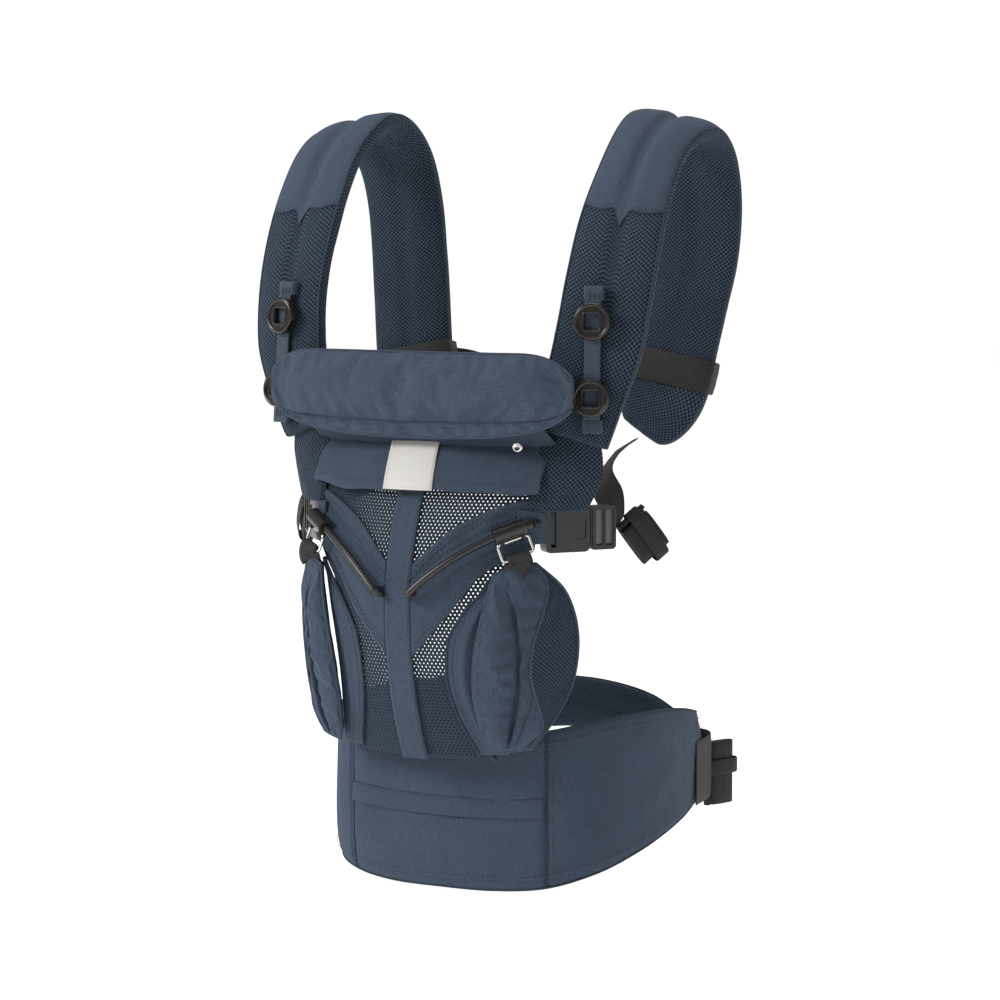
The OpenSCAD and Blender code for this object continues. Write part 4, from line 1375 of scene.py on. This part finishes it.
def strap_layer(name, side, stations, angles, cells, material, groove, seed, sink, wrinkle, *nodes):
    """Padded part of the strap's skin between two stations, which may vary across it."""
    u, v = params(*cells)
    x, y = section(angles[0] + (angles[1] - angles[0]) * v, STRAP_POWER)
    first, last = stations(x)
    s = first * (1 - u) + last * u
    depth, low, high, width = groove
    out = y * strap_half(s) * quilted(x, depth * fade(s, low, high, width))
    out = out - np.sign(y) * sink * np.clip(np.abs(y) * 2, 0, 1)
    P = strap_pt(s, x, out)
    P = crumple(P, wrinkle, 34, seed, np.clip(np.abs(y) * 1.5 - 0.4, 0, 1))
    layer = grid(name, mirrored(P, side), material, side > 0)
    piece(layer, "carrier", "cotton" if material == cotton else "mesh", *nodes)


def fade(s, low, high, width):
    return np.clip((s - low) / width, 0, 1) * np.clip((high - s) / width, 0, 1)


def make_straps():
    skin, lining = (20, 160), (160, 380)
    for name, side in SIDES.items():
        strap_layer(
            f"strap_cover_{name}_cotton", side, lambda x: (seam_station(x), STRAP_END), skin, (190, 44),
            cotton, (0.5, 3.5, 9.5, 1.2), 81, 0, 0.4, f"strap_cover_{name}", f"strap_foam_{name}")
        strap_layer(
            f"strap_yoke_{name}_mesh", side, lambda x: (0, seam_station(x) + 0.03), skin, (90, 40),
            spacer, (0.34, 1.2, 5.5, 1.0), 82, 0.5, 0.35, f"strap_yoke_{name}")
        strap_layer(
            f"strap_lining_{name}_mesh", side, lambda x: (0, STRAP_END), lining, (240, 60),
            spacer, (0.2, 0.5, 14.5, 1.0), 83, 0, 0.5, f"strap_lining_{name}")
        # Edges and the mesh-to-cotton seam take the darker cotton copy: painted shade.
        edges = []
        s = np.linspace(0.05, STRAP_END - 0.03, 300)
        for angle in skin:
            x, y = section(angle, STRAP_POWER)
            edges.append(tube("edge", mirrored(strap_pt(s, x, y * strap_half(s)), side), 0.8, painted_shade_cotton, 6))
        x, y = section(np.linspace(22, 158, 70), STRAP_POWER)
        s = seam_station(x)
        path = strap_pt(s, x, y * strap_half(s) * quilted(x, 0.42) + 0.1)
        edges.append(tube("seam", mirrored(path, side), 0.65, painted_shade_cotton, 6))
        piece(joined(f"strap_seams_{name}", edges), "carrier", "cotton")
        s = s + 0.07
        path = strap_pt(s, x, y * strap_half(s) * quilted(x, 0.5) + 0.15)
        lift = path - strap_pt(s, x, 0)
        stitches(mirrored(path, side)[4:-4], mirrored(lift, side)[4:-4])
        make_ring_track(name, side)


TRACK_FOOT = np.array([130, -111.1, 350.0])
TRACK_LEAN, TRACK_LEN, TRACK_W = math.radians(4.2), 96, 12
RING_R = 13.5
RING_PLACES = {"upper": 75, "lower": 20}


def make_ring_track(name, side):
    """Narrow blue webbing on the strap's face, on which the two rings slide."""
    turn = math.radians(STRAP_TURN)
    across = np.array([math.cos(turn), math.sin(turn), 0])
    back = np.array([-math.sin(turn), math.cos(turn), 0])
    run = back * math.sin(TRACK_LEAN) + np.array([0, 0, math.cos(TRACK_LEAN)])
    out = np.cross(across, run)
    make_ring_rims(name, side, TRACK_FOOT, out, run, across)
    u, v = params(90, 10)
    ends = np.clip(np.minimum(u, 1 - u) / 0.06, 0, 1)
    P = TRACK_FOOT + run * (u * TRACK_LEN)[..., None] + across * ((v - 0.5) * TRACK_W)[..., None]
    P = P - out * ((1 - ends) * 3.0)[..., None]

    def layer(Q, high, low):
        face, back = mirrored(Q + out * high, side), mirrored(Q + out * low, side)
        return shell("webbing", face, back, blue_web, side < 0)
    blocks = [layer(P, 0.55, -0.55)]
    for at in (0, TRACK_LEN):
        u, v = params(8, 10)
        Q = TRACK_FOOT + run * (at - 5 + 10 * u)[..., None] + across * ((v - 0.5) * (TRACK_W + 2))[..., None]
        blocks.append(layer(Q, -0.4, -8.2))
    piece(joined(f"ring_track_{name}_web", blocks), "carrier", "blue_webbing", f"ring_track_{name}")
    for z in (*range(5), *range(TRACK_LEN - 4, TRACK_LEN + 1)):
        row = TRACK_FOOT + run * z + across * np.linspace(-5, 5, 12)[:, None] + out * 0.3
        stitches(mirrored(row, side), mirrored(out, side), *TRACK_STITCH)


make_straps()


# ---------- Webbing ----------

WEB_T, TAIL_THICK = 1.8, 11
WAIST_WEB, SHOULDER_WEB, CHEST_WEB, TAB_WEB = 50, 25, 25, 17


def web(name, points, w0, w1, width, rows=90):
    """Flat webbing along points, whose width direction turns from w0 to w1, with thinner selvedges."""
    u, v = params(rows, 10)
    s = u * (len(points) - 1)
    t = heading(points, s)
    w = np.asarray(w0, float) * (1 - u[..., None]) + np.asarray(w1, float) * u[..., None]
    across = unit(w - t * np.sum(w * t, axis=-1, keepdims=True))
    n = np.cross(across, t)
    mid = curve(points, s) + across * ((v - 0.5) * width)[..., None]
    half = WEB_T / 2 * np.clip(1 - np.abs(2 * v - 1) ** 8, 0.25, 1)
    return shell(name, mid + n * half[..., None], mid - n * half[..., None], black_web)


def bridge(obj):
    """Bakes the webbing's transform into its mesh."""
    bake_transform(obj)


COIL_TURNS = 2.6


def coil(name, centre, angle, tilt, side, width, long, thick):
    """Tail of webbing rolled up flat, turned about Z and tilted, with an elastic keeper round it."""
    c, s = math.cos(math.radians(angle)), math.sin(math.radians(angle))
    ct, st = math.cos(math.radians(tilt)), math.sin(math.radians(tilt))
    ex = np.array([c * ct, s * ct, -st])
    ey = np.array([-s, c, 0])
    ez = np.array([c * st, s * st, ct])

    def loop(a, half_x, half_y):
        x, y = section(np.degrees(a), 2 / 0.75)
        return centre + (x * half_x)[..., None] * ex + (y * half_y)[..., None] * ey

    a = np.linspace(0, COIL_TURNS * 2 * math.pi, 150)
    share = 0.2 + 0.8 * a / a[-1]
    path = loop(a, share * (long / 2 - 1), share * (thick / 2 - 1))
    n = np.cross(unit(np.gradient(path, axis=0)), ez)
    v = np.linspace(-0.5, 0.5, 9)
    mid = path[:, None] + ez * (v * width)[None, :, None]
    half = n[:, None] * 0.75
    roll = shell(name, mirrored(mid + half, side), mirrored(mid - half, side), black_web)
    b = np.linspace(0, 2 * math.pi, 49)
    ring = []
    for z, grow in ((-6, 0.4), (-5, 1.1), (5, 1.1), (6, 0.4)):
        ring.append(loop(b, long / 2 + grow, thick / 2 + grow) + ez * (z + width * 0.1))
    return joined(name, [roll, tidy(grid("keeper", mirrored(np.stack(ring, 0), side), black_web))])


WAIST_MOUTH, WAIST_ANGLE = np.array([72, 148, 67.0]), -18
SHOULDER_MOUTH, SHOULDER_ANGLE = np.array([114, -84, 274.0]), 50
SHOULDER_TAIL_TILT = 52
UPRIGHT = (0, 0, 1)


def pull(angle):
    a = math.radians(angle)
    return np.array([math.cos(a), math.sin(a), 0])


def make_waist_webs():
    bar = WAIST_MOUTH + pull(WAIST_ANGLE) * 21.5
    z = WAIST_MOUTH[2]
    path = [[132.6, 76, z], [129.9, 100, z], [125, 122, z], [113, 136, z], bar]
    right = web("waist_web_right_flat", path, UPRIGHT, UPRIGHT, WAIST_WEB)
    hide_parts("waist_web_right")
    bridge(right)
    roll = coil("waist_tail_rolled", np.array([126, 138, z - 9]), 68, 0, 1, WAIST_WEB, 34, TAIL_THICK)
    piece(roll, "waist_plug", "webbing")
    path = [[2, 150.6, 89], [18, 151, 83], [29, 154, 74], [36, 159.5, z]]
    piece(web("waist_web_left_flat", path, UPRIGHT, UPRIGHT, 34), "carrier", "webbing", "waist_web_left")


def make_shoulder_webs():
    go = pull(SHOULDER_ANGLE)
    bar = SHOULDER_MOUTH + go * 24
    for name, side in SIDES.items():
        path = [[80, 58, 323], [81, 42, 319], [85, 14, 311], [97, -20, 301], [118, -46, 288], bar]
        path = mirrored(np.array(path, float), side)
        upper, lower = (side, 0, 0.6), (0.2 * side, 0.3, 1)
        strap = web(f"shoulder_web_{name}_flat", path, upper, lower, SHOULDER_WEB, 120)
        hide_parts(f"shoulder_web_{name}")
        bridge(strap)
        centre = bar + go * 22 + np.array([0, 0, -8.0])
        tail = f"shoulder_tail_{name}_rolled"
        roll = coil(tail, centre, SHOULDER_ANGLE, SHOULDER_TAIL_TILT, side, SHOULDER_WEB, 42, TAIL_THICK)
        piece(roll, f"shoulder_plug_{name}", "webbing")


def chest_wrap(name, side):
    """Elastic sleeve round the strap's padded back, which follows the strap's section."""
    lean, tip = math.atan2(13, 70), -math.atan2(12, 70)
    x, y = section(np.linspace(0, 360, 97), 7)
    rings = []
    for z, grow in ((-12.5, 0.0), (-11.8, 1.2), (-4, 1.7), (0, 1.5), (4, 1.7), (11.8, 1.2), (12.5, 0.0)):
        p = x * (STRAP_W / 2 + 1.8 + grow)
        q = y * (lens((x + 1) / 2, STRAP_T / 2, 4.5) + 1.8 + grow)
        q, r = q * math.cos(tip) - z * math.sin(tip), q * math.sin(tip) + z * math.cos(tip)
        p, r = p * math.cos(lean) + r * math.sin(lean), -p * math.sin(lean) + r * math.cos(lean)
        rings.append(np.stack([p, q, r], -1) + np.array([112.4, 71, 382]))
    return tidy(grid(name, mirrored(np.stack(rings, 0), side), black_web, side > 0))


def make_chest_strap():
    for name, side in SIDES.items():
        piece(chest_wrap(f"chest_band_{name}", side), f"chest_{name}", "webbing")
    path = [[88, 81, 382], [72, 86, 380], [55, 95, 372], [39, 98, 368], [31.8, 98, 368]]
    right = web("chest_web_right_flat", path, UPRIGHT, UPRIGHT, CHEST_WEB)
    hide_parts("chest_web_right")
    bridge(right)
    path = [[-88, 81, 382], [-72, 86, 380], [-47, 96, 372], [-18.5, 98, 368]]
    left = web("chest_web_left_flat", path, UPRIGHT, UPRIGHT, CHEST_WEB)
    piece(left, "chest_left", "webbing", "chest_web_left")


def make_slider_tabs():
    """Webbing tab from each slider's loop down into the top of its leg pad."""
    count = 200
    line = rail_arc(count)
    k = int((1 - SLIDER_FROM_END / RAIL_SWEEP) * (count - 1))
    along = unit(line[k + 1] - line[k - 1])
    x, z, e = line[k, 0], line[k, 2], 0.5
    foot = panel_pt(x, z, 0.0)
    n = unit(np.cross(panel_pt(x + e, z, 0.0) - foot, panel_pt(x, z + e, 0.0) - foot))
    n = n if n[1] < 0 else -n
    down = unit(np.cross(along, n))
    down = down if down[2] < 0 else -down
    wire = line[k] + down * LOOP_REACH
    top, deep = leg_pt(np.array([0.985, 0.94]), np.array([0.55, 0.55]), np.array([2.5, 0.5]))
    points = [wire - n * 2.0 + down, wire - down * 2.1, wire + n * 2.1, wire + n * 2.2 + down * 5, top, deep]
    for name, side in SIDES.items():
        path = mirrored(np.array(points), side)
        tab = web(f"slider_tab_{name}", path, mirrored(along, side), (side, 0, 0), TAB_WEB, 60)
        bridge(tab)


make_waist_webs()
make_shoulder_webs()
make_chest_strap()
make_slider_tabs()
finish_stitches()


# ---------- Finishes on the CAD hardware ----------

HARDWARE = {"ring": ring_plastic, "loop": chrome}


def finish_hardware():
    for name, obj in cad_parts.items():
        if obj.hide_render:
            continue
        obj.data.materials.clear()
        obj.data.materials.append(HARDWARE.get(name.split("_")[0], plastic))


finish_hardware()
